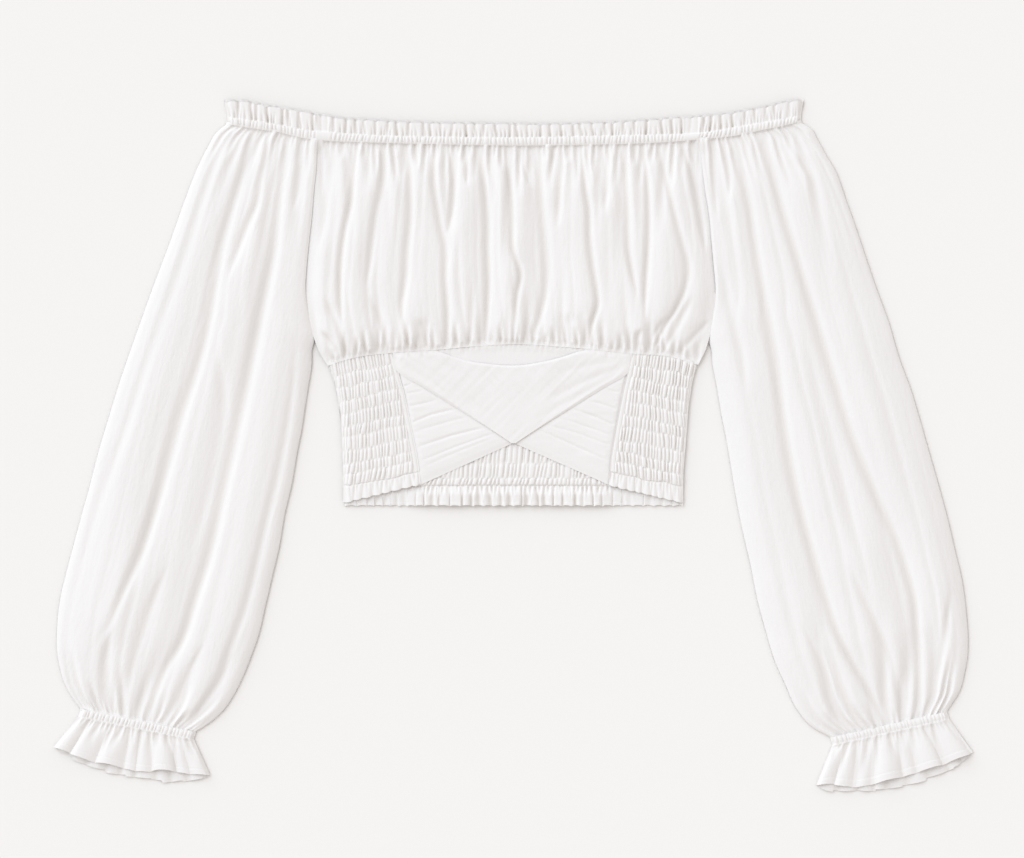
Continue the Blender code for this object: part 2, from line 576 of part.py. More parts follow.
def make_underlay():
    """Piece that fills the overlay's scooped upper edge."""
    table = np.asarray(UNDERLAY, float)
    shares = np.linspace(0, 1, UNDERLAY_ROWS)[:, None]
    x = table[:, 0] + (table[:, 2] - table[:, 0]) * shares
    y = table[:, 1] + (table[:, 3] - table[:, 1]) * shares
    sheet("centre_underlay", x, y, SECOND_LOW, SECOND_LOW + CLOTH)


def make_back_band():
    """Shirred back of the lower band, with a fluted hem where the front leaves it uncovered."""
    count = HEM_FLUTES * 2 + 1
    rows, swell = shirring(BACK_RUFFLE_FROM, BACK_SMOCK_ROWS, BACK_RUFFLE_SWELL)
    x, y = section_grid(BACK_BAND, np.linspace(0, 1, count), rows)
    top = underbust(x[0]) + GAP_STEPS
    y += (top - y[0]) * (1 - rows[:, None]) ** 2
    shown = 1 - np.clip((np.abs(x[-1] - PLAN_MIDDLE[0]) - HEM_SHOWN) / HEM_FADE, 0, 1)
    flutes = wave(np.arange(count) / 2)
    high = SMOCK_RISE * swell[:, None] * np.ones((1, count))
    high[-2] += (HEM_WAVE - SMOCK_RISE) * flutes * shown
    high[-1] += HEM_WAVE * flutes * shown
    y[-1] += HEM_BULGE * flutes - HEM_BULGE
    sheet("back_shirred_panel", x, y, 0.0, CLOTH + high)


def build_object(name, points, faces):
    """One named object from a closed wall, with its own material and its faces turned outwards."""
    mesh = bpy.data.meshes.new(name)
    mesh.from_pydata(points.tolist(), [], [tuple(int(i) for i in face) for face in faces])
    solid = bmesh.new()
    solid.from_mesh(mesh)
    bmesh.ops.recalc_face_normals(solid, faces=solid.faces)
    if solid.calc_volume(signed=True) < 0:
        bmesh.ops.reverse_faces(solid, faces=solid.faces)
    solid.to_mesh(mesh)
    solid.free()
    mesh.polygons.foreach_set("use_smooth", [True] * len(mesh.polygons))
    material = bpy.data.materials.new("white_voile_" + name)
    material.use_nodes = True
    shader = material.node_tree.nodes["Principled BSDF"]
    shader.inputs["Base Color"].default_value = WHITE
    shader.inputs["Roughness"].default_value = ROUGHNESS
    mesh.materials.append(material)
    bpy.context.scene.collection.objects.link(bpy.data.objects.new(name, mesh))


def main():
    """Builds every piece, then places them round the origin with the underside at zero height."""
    for old in list(bpy.data.objects):
        bpy.data.objects.remove(old)
    make_bodice()
    left_end = make_sleeve("sleeve_left", LEFT_AXIS, 1, LEFT_OUTER, LEFT_INNER, LEFT_TROUGHS, 1)
    right_end = make_sleeve("sleeve_right", RIGHT_AXIS, -1, RIGHT_OUTER, RIGHT_INNER, RIGHT_TROUGHS, 2)
    make_cuff("cuff_left", left_end, LEFT_HEM_FRONT, LEFT_HEM_BACK)
    make_cuff("cuff_right", right_end, RIGHT_HEM_FRONT, RIGHT_HEM_BACK)
    make_neck_casing()
    make_side_panel("side_panel_left", SIDE_LEFT)
    make_side_panel("side_panel_right", SIDE_RIGHT)
    make_wrap_panel("wrap_panel_left", WRAP_LEFT, LEFT_PLEATS, (*OVERLAY[1][:2], *OVERLAY[-1][:2]))
    make_wrap_panel("wrap_panel_right", WRAP_RIGHT, RIGHT_PLEATS, (*OVERLAY[1][2:], *OVERLAY[-1][2:]))
    make_overlay()
    make_underlay()
    make_back_band()
    everything = np.concatenate([points for points, _ in pieces.values()])
    low, high = everything.min(axis=0), everything.max(axis=0)
    origin = np.array([(low[0] + high[0]) / 2, (low[1] + high[1]) / 2, low[2]])
    for name, (points, faces) in pieces.items():
        build_object(name, points - origin, faces)


main()
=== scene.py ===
import bpy
import numpy as np
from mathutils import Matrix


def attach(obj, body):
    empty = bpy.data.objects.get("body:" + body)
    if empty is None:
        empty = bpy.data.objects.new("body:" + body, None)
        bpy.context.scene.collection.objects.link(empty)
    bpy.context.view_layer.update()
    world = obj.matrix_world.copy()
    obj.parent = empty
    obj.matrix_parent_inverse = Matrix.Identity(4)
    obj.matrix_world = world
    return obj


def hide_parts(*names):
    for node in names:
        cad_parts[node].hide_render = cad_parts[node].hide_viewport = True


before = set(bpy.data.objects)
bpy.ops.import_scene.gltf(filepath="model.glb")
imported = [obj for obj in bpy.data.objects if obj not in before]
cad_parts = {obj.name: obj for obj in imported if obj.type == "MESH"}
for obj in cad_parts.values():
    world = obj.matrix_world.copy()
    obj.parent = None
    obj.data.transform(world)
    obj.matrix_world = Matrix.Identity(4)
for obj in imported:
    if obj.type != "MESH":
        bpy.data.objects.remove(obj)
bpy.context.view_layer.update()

bl_info = {
    "name": "Off-shoulder top, laid flat",
    "version": (1, 0, 0),
    "blender": (4, 5, 0),
    "location": "View3D > Sidebar > Top",
    "description": "Dresses the solids of an off-shoulder crop top in fine cloth and sets its stage",
    "category": "Object",
}

MM = 0.001
# Outlines and folds are read on a plan grid, x to the right and y towards the hem, one step being this long.
PLAN_STEP = 0.88 * MM
PLAN_MIDDLE = (513.5, 445.9123)
PICTURE_MIDDLE = (512.0, 429.0)
PICTURE_WIDTH = 1024

# Heights of the layers above the surface, in mm.
BACK_LEVEL = 0.35
FRONT_LEVEL = 2.1
BAND_LEVEL = 3.0
OVERLAY_LEVEL = 4.7
# Painted shade: the darker, warmer colour the cloth is given deep in its folds and gathers.
PAINTED_SHADE_COLOUR = "CFC6BC"

# Bodice side, armhole seam and side seam in one: y, x of the left side, x of the right side.
BODICE_SIDE = [
    (141, 316.0, 702.0), (152, 315.8, 702.3), (165, 315.5, 703.0), (190, 313.0, 706.0),
    (215, 311.0, 710.0), (242, 308.0, 712.5), (268, 305.5, 714.8), (290, 304.5, 716.5),
    (305, 306.0, 715.8), (320, 309.0, 713.0), (338, 314.0, 709.5), (352, 319.5, 705.0),
    (366, 328.0, 698.0),
]
# Neckline from left to right: x, y of the frill's edge, y of the casing's top, y of its lower edge.
NECKLINE = [
    (227, 102, 117, 124), (240, 102, 119, 127), (260, 105, 121.5, 130), (280, 109, 125, 133),
    (300, 112, 129, 138), (340, 119, 133, 142), (370, 121, 135, 143), (450, 124, 137, 145),
    (513, 125, 137.5, 146), (600, 123.5, 136, 145), (660, 120, 134.5, 143), (700, 117.5, 133, 140),
    (730, 114, 128, 137), (760, 109, 123, 131), (780, 104, 119.5, 127), (801, 101, 116, 122),
]
# Underbust seam from left to right: x, y.
UNDERBUST = [
    (328, 366), (350, 359), (393, 353), (437, 350), (470, 347), (513, 344.5),
    (560, 347), (585, 349), (633, 354), (670, 357), (698, 365),
]

# Troughs of the front bodice: depth in mm, width in steps, how open each end is, then points.
BODICE_FOLDS = [
    (1.6, 5, 1, 0, [(334, 145), (331, 170), (327, 200), (322, 230), (318, 255)]),
    (3.2, 4, 1, 0, [(357, 145), (354, 170), (351, 200), (345, 230), (341, 260), (340, 290), (343, 332)]),
    (2.4, 4.5, 1, 0, [(380, 143), (383, 160), (381, 190), (377, 210), (373, 240), (370, 265), (366, 290)]),
    (3.6, 5, 1, 0, [(405, 143), (409, 165), (410, 190), (410, 220), (407, 250), (405, 280), (402, 305), (405, 335)]),
    (3.0, 4.5, 0.5, 1, [(435, 150), (434, 185), (437, 205), (440, 225), (445, 250), (445, 280), (447, 310),
                        (447, 346)]),
    (2.2, 3.5, 1, 0, [(449, 148), (452, 170), (453, 200), (450, 222), (446, 240)]),
    (1.4, 3, 1, 0, [(468, 145), (467, 165), (467, 188)]),
    (4.0, 4.5, 1, 1, [(477, 145), (481, 165), (485, 190), (487, 220), (487, 250), (488, 280), (487, 310),
                      (485, 344)]),
    (2.4, 4, 1, 0, [(505, 148), (507, 165), (510, 190), (512, 220), (513, 250), (520, 275), (517, 295),
                    (515, 320), (517, 338)]),
    (1.6, 3, 1, 0, [(520, 147), (525, 170), (530, 188)]),
    (4.6, 5.5, 1, 0.5, [(532, 147), (535, 160), (540, 180), (541, 200), (543, 225), (545, 250), (546, 280),
                        (544, 300), (540, 315), (535, 332)]),
    (2.0, 4, 1, 0, [(561, 147), (562, 160), (560, 185), (558, 210), (556, 230)]),
    (3.2, 4.5, 1, 1, [(580, 145), (583, 170), (585, 190), (588, 210), (589, 240), (592, 265), (596, 290),
                      (597, 305), (592, 322), (588, 346)]),
    (2.2, 4, 1, 0, [(601, 145), (604, 160), (606, 180), (604, 214)]),
    (3.2, 4.5, 1, 0, [(620, 145), (624, 165), (626, 190), (627, 220), (628, 250), (632, 275), (637, 300)]),
    (3.2, 4, 1, 0, [(641, 145), (645, 165), (647, 190), (648, 220), (647, 250), (645, 280), (644, 325)]),
    (2.4, 4.5, 1, 1, [(658, 145), (662, 165), (667, 185), (677, 225), (682, 245), (687, 265), (684, 290),
                      (675, 310), (665, 325), (655, 346)]),
    (3.0, 4, 1, 0, [(680, 143), (687, 160), (692, 175), (697, 200), (701, 225), (705, 255)]),
    (1.8, 3, 1, 0, [(692, 145), (701, 160), (704, 180)]),
    (1.6, 5, 0, 1, [(325, 296), (335, 320), (350, 360)]),
    (1.4, 4, 0, 1, [(321, 330), (331, 342), (342, 360)]),
    (1.5, 5, 0, 1, [(371, 296), (386, 335), (391, 354)]),
    (1.4, 4, 0, 1, [(421, 318), (424, 335), (422, 350)]),
    (1.2, 4, 0, 1, [(568, 312), (570, 335), (570, 348)]),
    (1.6, 5, 0, 1, [(692, 296), (680, 320), (660, 356)]),
    (1.8, 5, 0, 1, [(711, 318), (698, 332), (674, 358)]),
    (1.3, 4, 0, 1, [(667, 316), (656, 332), (646, 354)]),
    (1.3, 4, 0, 1, [(641, 328), (635, 342), (632, 353)]),
]

# Outer fold of each sleeve from neck to cuff, then the free part of its inner edge: x, y.
LEFT_OUTER = [
    (226, 124.5), (218, 131), (208, 147), (198, 167), (185, 200), (169, 245), (152, 290), (136, 335),
    (122, 375), (108, 420), (99, 450), (90, 485), (83, 510), (75, 540), (67, 570), (60, 600),
    (57, 630), (57, 650), (60, 668), (64, 682), (72, 697), (80.5, 708.5),
]
LEFT_INNER = [
    (312.5, 350), (312, 365), (308, 390), (305, 410), (302, 430), (298, 450), (292, 485), (285, 515),
    (280, 545), (273, 575), (266, 605), (259, 635), (252, 655), (244, 675), (234, 695), (222, 712),
    (208, 724), (196, 731.5),
]
RIGHT_OUTER = [
    (802, 122), (810, 127), (818, 140), (826, 155), (835, 170), (846, 200), (855, 225), (865, 255),
    (877, 290), (888, 320), (900, 360), (911, 390), (920, 420), (932, 462), (940, 490), (948, 520),
    (955, 550), (962, 580), (966, 610), (968, 640), (967, 660), (964, 675), (960, 690), (947, 711),
]
RIGHT_INNER = [
    (711, 351), (712, 364), (716, 385), (721, 415), (726, 440), (731, 470), (736, 500), (742, 530),
    (750, 565), (757, 600), (765, 630), (774, 660), (785, 685), (797, 710), (812, 727), (830, 737),
]
LEFT_AXIS = ((272, 132), (138, 720))
RIGHT_AXIS = ((751.5, 130), (888.5, 724))

# Troughs of the sleeves: depth in mm, width in steps, how open each end is, then points.
LEFT_FOLDS = [
    (1.6, 7, 1, 0, [(237, 127), (222, 150), (205, 195), (188, 250), (170, 300), (145, 370), (125, 430),
                    (100, 500), (78, 580), (68, 622)]),
    (4.6, 7, 1, 0, [(254, 131), (250, 150), (243, 175), (234, 205), (223, 245), (213, 300), (205, 340),
                    (195, 375), (183, 410), (172, 450), (152, 520), (140, 555), (125, 590), (112, 620), (92, 652)]),
    (2.8, 5, 1, 0, [(268, 133), (267, 155), (261, 180), (257, 205), (248, 225), (238, 252), (227, 282)]),
    (4.8, 7, 1, 1, [(287, 136), (286, 160), (281, 190), (278, 215), (275, 245), (263, 305), (250, 370),
                    (235, 440), (226, 480), (208, 560), (195, 600), (182, 640), (165, 670), (153, 702), (148, 724)]),
    (1.8, 4, 1, 0, [(302, 139), (301, 160), (299, 185), (293, 212)]),
    (2.0, 6, 0, 1, [(297, 330), (292, 400), (278, 480), (265, 530), (245, 610), (230, 650), (220, 680),
                    (205, 702), (190, 727)]),
    (1.8, 8, 0, 0, [(214, 330), (224, 400), (214, 470), (190, 560)]),
    (1.6, 6, 0, 1, [(170, 560), (150, 610), (135, 660), (122, 718)]),
    (1.4, 5, 0, 1, [(112, 630), (104, 670), (103, 714)]),
    (1.3, 4, 0, 1, [(205, 640), (184, 685), (172, 728)]),
]
RIGHT_FOLDS = [
    (1.6, 3.5, 1, 0, [(712, 142), (712, 165), (714, 192), (717, 222)]),
    (1.8, 3.5, 1, 0, [(723, 138), (727, 165), (729, 190), (728, 204)]),
    (4.6, 6.5, 1, 1, [(736, 137), (741, 160), (745, 185), (750, 210), (754, 240), (764, 300), (775, 360),
                      (785, 440), (797, 500), (815, 565), (825, 600), (835, 630), (850, 660), (864, 684), (885, 722)]),
    (4.6, 6.5, 1, 1, [(764, 131), (768, 155), (774, 180), (782, 210), (797, 260), (812, 310), (830, 370),
                      (852, 440), (877, 500), (893, 535), (905, 570), (913, 600), (916, 630), (918, 690), (918, 716)]),
    (2.0, 4, 1, 0, [(783, 128), (792, 145), (810, 178)]),
    (1.4, 4, 1, 0, [(793, 126), (812, 147), (832, 185), (854, 240), (876, 300), (900, 370), (928, 460),
                    (945, 530), (957, 590)]),
    (1.8, 6, 0, 0, [(718, 256), (725, 290), (732, 320), (740, 350), (746, 395)]),
    (1.8, 5, 0, 1, [(950, 585), (946, 620), (942, 650), (936, 680), (933, 710)]),
    (1.8, 8, 0, 0, [(800, 330), (818, 400), (836, 470), (858, 560)]),
    (1.5, 6, 0, 1, [(845, 560), (872, 620), (893, 670), (902, 716)]),
    (1.4, 5, 0, 1, [(800, 620), (828, 680), (850, 730)]),
]

LEFT_HEM_FRONT = [(210, 775), (190, 774), (170, 771), (137, 771), (115, 766), (90, 761), (70, 753), (54, 747)]
LEFT_HEM_BACK = [(208, 777), (190, 780), (165, 781), (152, 779), (112, 772), (85, 763), (70, 756), (56, 749)]
RIGHT_HEM_FRONT = [(816, 785), (832, 784), (852, 787), (878, 783), (898, 778), (925, 770), (950, 762), (973, 752)]
RIGHT_HEM_BACK = [(818, 787), (830, 790), (855, 790), (890, 788), (915, 782), (940, 773), (958, 765), (971, 755)]

# Flutes of the cuffs from the inner edge outwards: centre and half width as shares, height in mm, lean in steps.
LEFT_FLUTES = [
    (0.06, 0.065, 3.6, -1.0), (0.165, 0.05, 2.2, 0.0), (0.285, 0.08, 6.6, 0.0), (0.42, 0.055, 2.2, 0.0),
    (0.50, 0.045, 1.8, 0.5), (0.635, 0.095, 5.6, 3.0), (0.81, 0.09, 5.2, 3.5), (0.945, 0.06, 4.2, 1.0),
]
RIGHT_FLUTES = [
    (0.055, 0.06, 3.6, -1.0), (0.165, 0.06, 3.6, -2.0), (0.29, 0.05, 2.0, 0.0), (0.45, 0.095, 6.6, -0.5),
    (0.585, 0.045, 2.0, 0.0), (0.715, 0.085, 6.0, 3.0), (0.90, 0.085, 6.0, 2.0),
]
# Laps of the cuffs' lower layer: where each ends, as a share, and how far its corner juts out in steps.
LEFT_LAPS = [(0.16, 1.4), (0.29, 2.0), (0.36, 0.8), (0.53, 1.6), (0.66, 2.6), (0.88, 2.4), (1.0, 0.4)]
RIGHT_LAPS = [(0.10, 1.8), (0.24, 1.0), (0.36, 2.4), (0.52, 1.4), (0.68, 2.4), (0.86, 1.4), (1.0, 0.4)]
# Flat box stitches on the neck casing: x from, x to.
BOX_STITCHES = [(317, 328), (684, 698)]
# Shirring rows: y at the panel's outer edge from the seam to the hem.
SHIRRING = [366, 378, 390, 403, 415, 428, 438, 452, 465, 475, 485, 505]
BACK_SHIRRING = [366, 378, 390, 403, 415, 428, 443, 463, 478, 485, 505.5]

# Sections of the shirred side panels: outer x, y, inner x, y.
SIDE_LEFT = [
    (329, 366.4, 393.5, 353.8), (334, 380, 397, 367), (337.5, 396, 401, 381), (340.5, 412, 405.3, 396),
    (342, 440, 411.5, 426), (343, 470, 417.3, 455), (343, 484, 419.5, 471), (343, 503, 421, 484),
]
SIDE_RIGHT = [
    (697, 365.6, 631.8, 354.6), (693, 380, 628.6, 368), (690, 396, 625, 382), (688, 412, 621.6, 397),
    (686, 440, 615.8, 427), (683.5, 470, 611, 455), (683, 484, 609.6, 471), (683, 503, 608.5, 485),
]
# Wrap panels: seam x, y, then x, y of the edge tucked under the overlay.
WRAP_LEFT = [
    (395.5, 358, 428, 360), (402, 381, 443, 375), (407.5, 401, 462, 394), (412.7, 426, 484, 414),
    (418.2, 454, 501, 431), (422.3, 484, 512.2, 443.5),
]
WRAP_RIGHT = [
    (629.8, 358, 597, 360), (623.4, 381, 582, 375), (618.8, 401, 563, 394), (614.2, 426, 541, 414),
    (609.4, 454, 524, 431), (607, 484, 514.8, 443.5),
]
# Pleats of the wraps: depth in mm, width in steps, then points from the seam.
LEFT_PLEATS = [
    (0.6, 1.2, [(402, 387), (411, 384)]), (0.7, 1.2, [(404, 394), (422, 391)]), (0.8, 1.3, [(408, 407), (437, 400)]),
    (1.3, 1.4, [(411, 423), (430, 415), (455, 409)]), (0.7, 1.4, [(413, 432), (440, 424), (466, 417)]),
    (1.3, 1.4, [(415, 448), (450, 436), (486, 427)]), (0.8, 1.2, [(418, 462), (455, 447), (494, 433)]),
    (0.6, 1.3, [(419, 469), (450, 455), (490, 439)]),
]
RIGHT_PLEATS = [
    (0.6, 1.2, [(621, 393), (608, 390)]), (0.9, 1.3, [(620, 410), (605, 405), (590, 401)]),
    (1.3, 1.4, [(618, 427), (596, 417), (573, 409)]), (0.9, 1.3, [(615, 437), (588, 427), (560, 418)]),
    (0.8, 1.3, [(614, 447), (580, 434), (548, 425)]), (1.2, 1.4, [(611, 462), (575, 446), (540, 430)]),
]
# Overlay: left x, y, right x, y from its upper edge to the tip, and its scooped upper edge as x, y.
OVERLAY = [
    (395.3, 353.9, 629.6, 354.5), (399.8, 371.5, 625.4, 373), (425, 388.5, 600, 390), (455, 407.2, 571, 408.3),
    (484, 425.5, 542, 426.5), (511.5, 443.2, 515.5, 443.2),
]
OVERLAY_TOP = [
    (392.5, 353.9), (437, 351.2), (452, 356), (468.5, 361), (490, 364), (510, 365.5), (527, 364.5),
    (541, 362), (562, 357), (581, 351), (606, 352), (632.5, 354.5),
]
OVERLAY_CREASES = [
    (1.0, 4, [(402, 362), (436, 384), (472, 408)]), (0.6, 4, [(412, 358), (460, 392), (500, 424)]),
    (0.5, 4, [(424, 356), (450, 368), (474, 380)]), (0.6, 4, [(625, 360), (594, 364), (562, 372)]),
    (1.1, 4, [(627, 364), (592, 378), (556, 396)]), (0.9, 4, [(626, 369), (585, 392), (542, 416)]),
]
UNDERLAY = [
    (432, 350.8, 456, 375), (462, 348.4, 478, 379), (486, 346.9, 496, 380.5), (513, 345.4, 513, 381),
    (540, 346.6, 530, 380.5), (562, 348.2, 548, 379), (589, 350.0, 568, 375),
]
# Back of the lower band: left x, y, right x, y from the seam to the hem.
BACK_BAND = [
    (328.6, 366.8, 697.4, 366), (336, 390, 690.5, 390), (341, 425, 687, 425), (342.5, 460, 684.2, 460),
    (343.4, 486, 682.6, 486), (344, 505.5, 682, 505.5),
]


def plan(x, y):
    """Metres in the row's frame from steps of the plan grid."""
    return (np.asarray(x, float) - PLAN_MIDDLE[0]) * PLAN_STEP, (PLAN_MIDDLE[1] - np.asarray(y, float)) * PLAN_STEP


def spline(at, xs, ys):
    """A smooth curve through the points xs, ys, at the places `at`."""
    xs, ys = np.asarray(xs, float), np.asarray(ys, float)
    at = np.clip(at, xs[0], xs[-1])
    slope = np.gradient(ys, xs)
    i = np.clip(np.searchsorted(xs, at) - 1, 0, len(xs) - 2)
    span = xs[i + 1] - xs[i]
    t = (at - xs[i]) / span
    start = ys[i] * (1 + 2 * t) * (1 - t) ** 2 + slope[i] * span * t * (1 - t) ** 2
    return start + ys[i + 1] * t * t * (3 - 2 * t) + slope[i + 1] * span * t * t * (t - 1)


def line_at(shares, points):
    """Points at these shares of a line's length."""
    points = np.asarray(points, float)
    run = np.concatenate([[0], np.cumsum(np.linalg.norm(np.diff(points, axis=0), axis=1))])
    return np.stack([spline(np.asarray(shares) * run[-1], run, points[:, k]) for k in (0, 1)], axis=-1)


def section_grid(sections, across, down):
    """Plan x, y of a sheet between the two edges that the section table holds."""
    table = np.asarray(sections, float)
    rows = np.linspace(0, 1, len(table))
    edges = [spline(np.asarray(down), rows, table[:, k])[:, None] for k in range(4)]
    across = np.asarray(across)[None, :]
    return edges[0] + (edges[2] - edges[0]) * across, edges[1] + (edges[3] - edges[1]) * across


def ease(value, low, high):
    """0 below low, 1 above high and a soft step between."""
    t = np.clip((np.asarray(value, float) - low) / (high - low), 0, 1)
    return t * t * (3 - 2 * t)


def lattice(x, y, scale_x, scale_y, seed):
    """Soft unevenness of cloth, -1 to 1, with lumps of the given size in steps."""
    values = np.random.RandomState(seed).uniform(-1, 1, (97, 89))
    gx, gy = np.asarray(x) / scale_x + 7.3, np.asarray(y) / scale_y + 5.1
    ix, iy = np.floor(gx).astype(int), np.floor(gy).astype(int)
    tx, ty = gx - ix, gy - iy
    tx, ty = tx * tx * (3 - 2 * tx), ty * ty * (3 - 2 * ty)

    def pick(dx, dy):
        return values[(ix + dx) % 97, (iy + dy) % 89]

    top = pick(0, 0) * (1 - tx) + pick(1, 0) * tx
    return top * (1 - ty) + (pick(0, 1) * (1 - tx) + pick(1, 1) * tx) * ty


def gather_line(s, pitch, seed, sharp=0.3):
    """Profile of uneven gathers across a strip, 1 on the ridges and down to 0 in the troughs."""
    draw = np.random.RandomState(seed)
    low, high = float(np.min(s)) - pitch, float(np.max(s)) + pitch
    centres = np.arange(low, high, pitch)
    centres = centres + draw.uniform(-0.3, 0.3, len(centres)) * pitch
    depths = draw.uniform(0.45, 1.0, len(centres))
    line = np.linspace(low, high, int((high - low) * 4) + 2)
    near = np.abs(line[:, None] - centres[None, :]) / (pitch * sharp)
    return 1 - np.interp(s, line, (depths * np.exp(-near**2)).max(axis=1))


def gathers(s, away, pitch, depth, reach, seed, sharp=0.27):
    """Troughs that start at a seam, each with its own depth, length and lean; depth and result in mm."""
    draw = np.random.RandomState(seed)
    total = np.zeros(np.broadcast(s, away).shape)
    centre = float(np.min(s)) + pitch * draw.uniform(0.2, 0.8)
    away = np.clip(away, 0, None)
    while centre < float(np.max(s)):
        deep, far = depth * draw.uniform(0.4, 1.0), reach * draw.uniform(0.4, 1.25)
        lean, width = draw.uniform(-0.1, 0.1), pitch * sharp * (1 + 0.9 * away / far)
        fade = 1 - ease(away / far, 0.1, 1.0)
        total = np.maximum(total, deep * fade * np.exp(-(((s - centre - lean * away) / width) ** 2)))
        centre += pitch * draw.uniform(0.65, 1.35)
    return -total


def fluted(s, rows, depth=1.0):
    """Height in mm and sideways shift in steps of rounded flutes: centre, half width, height, lean."""
    height, shift = np.zeros(np.shape(s)), np.zeros(np.shape(s))
    for centre, half, tall, lean in rows:
        q = np.clip((s - centre) / half, -1, 1)
        bump = np.cos(np.pi * q / 2) ** 2
        height = np.maximum(height, tall * bump)
        shift = shift + 0.34 * half * np.sin(np.pi * q) * min(tall / (0.55 * half), 1) * depth + lean * bump
    return height, shift


def flute_rows(low, high, pitch, tall, seed):
    """Uneven flutes side by side between low and high."""
    draw = np.random.RandomState(seed)
    rows, edge = [], low
    while edge < high - 0.5 * pitch:
        wide = min(pitch * draw.uniform(0.7, 1.3), high - edge)
        rows.append((edge + wide / 2, wide / 2 * 1.08, tall * draw.uniform(0.65, 1.0), draw.uniform(-0.12, 0.12) * wide))
        edge += wide
    return rows


def carve(plateau, relief, floor):
    """Heights after pressing the relief into a plateau, easing off before it reaches the floor."""
    room = np.maximum(plateau - floor, 0.05)
    return plateau + np.clip(relief, 0, None) - room * (1 - np.exp(-np.clip(-relief, 0, None) / room))


def trough(x, y, fold):
    """A soft trough along a line that runs down the cloth, wider and shallower in its middle."""
    depth, width, start, end, points = fold
    xs, ys = np.transpose(np.asarray(points, float))
    middle = spline(y, ys, xs)
    run = (y - ys[0]) / (ys[-1] - ys[0])
    opening = np.clip(start + ease(run, -0.02, 0.3), 0, 1) * np.clip(end + ease(1 - run, -0.02, 0.3), 0, 1)
    inside = ease(run, -0.06, 0.0) * ease(1 - run, -0.06, 0.0)
    wide = width * (0.75 + 0.5 * np.sin(np.pi * np.clip(run, 0, 1)))
    away = (x - middle) / wide
    return -depth * opening * inside * (0.68 * np.exp(-((away / 0.66) ** 2)) + 0.32 * np.exp(-((away / 2.5) ** 2)))


def crease(x, y, depth, width, points):
    """A soft trough along any short line, fading at both ends."""
    near = np.full(np.shape(x), 1e9)
    run = np.zeros(np.shape(x))
    points = np.asarray(points, float)
    for k in range(len(points) - 1):
        (x0, y0), (x1, y1) = points[k], points[k + 1]
        ax, ay = x1 - x0, y1 - y0
        t = np.clip(((x - x0) * ax + (y - y0) * ay) / (ax * ax + ay * ay), 0, 1)
        away = np.hypot(x - x0 - ax * t, y - y0 - ay * t)
        closer = away < near
        near, run = np.where(closer, away, near), np.where(closer, (k + t) / (len(points) - 1), run)
    return -depth * np.exp(-((near / width) ** 2)) * (0.45 + 0.55 * np.sin(np.pi * np.clip(run, 0, 1)))


def srgb(code):
    """Linear RGBA from a hex colour."""
    parts = [int(code[i:i + 2], 16) / 255 for i in (0, 2, 4)]
    return (*[c / 12.92 if c <= 0.04045 else ((c + 0.055) / 1.055) ** 2.4 for c in parts], 1.0)


def add_node(tree, kind, settings=None, links=None):
    """Adds a shader node, sets its properties and input values, and links its inputs."""
    node = tree.nodes.new(kind)
    for key, value in (settings or {}).items():
        if hasattr(node, key) and not key[0].isupper():
            setattr(node, key, value)
        else:
            node.inputs[key].default_value = value
    for key, source in (links or {}).items():
        tree.links.new(source, node.inputs[key])
    return node


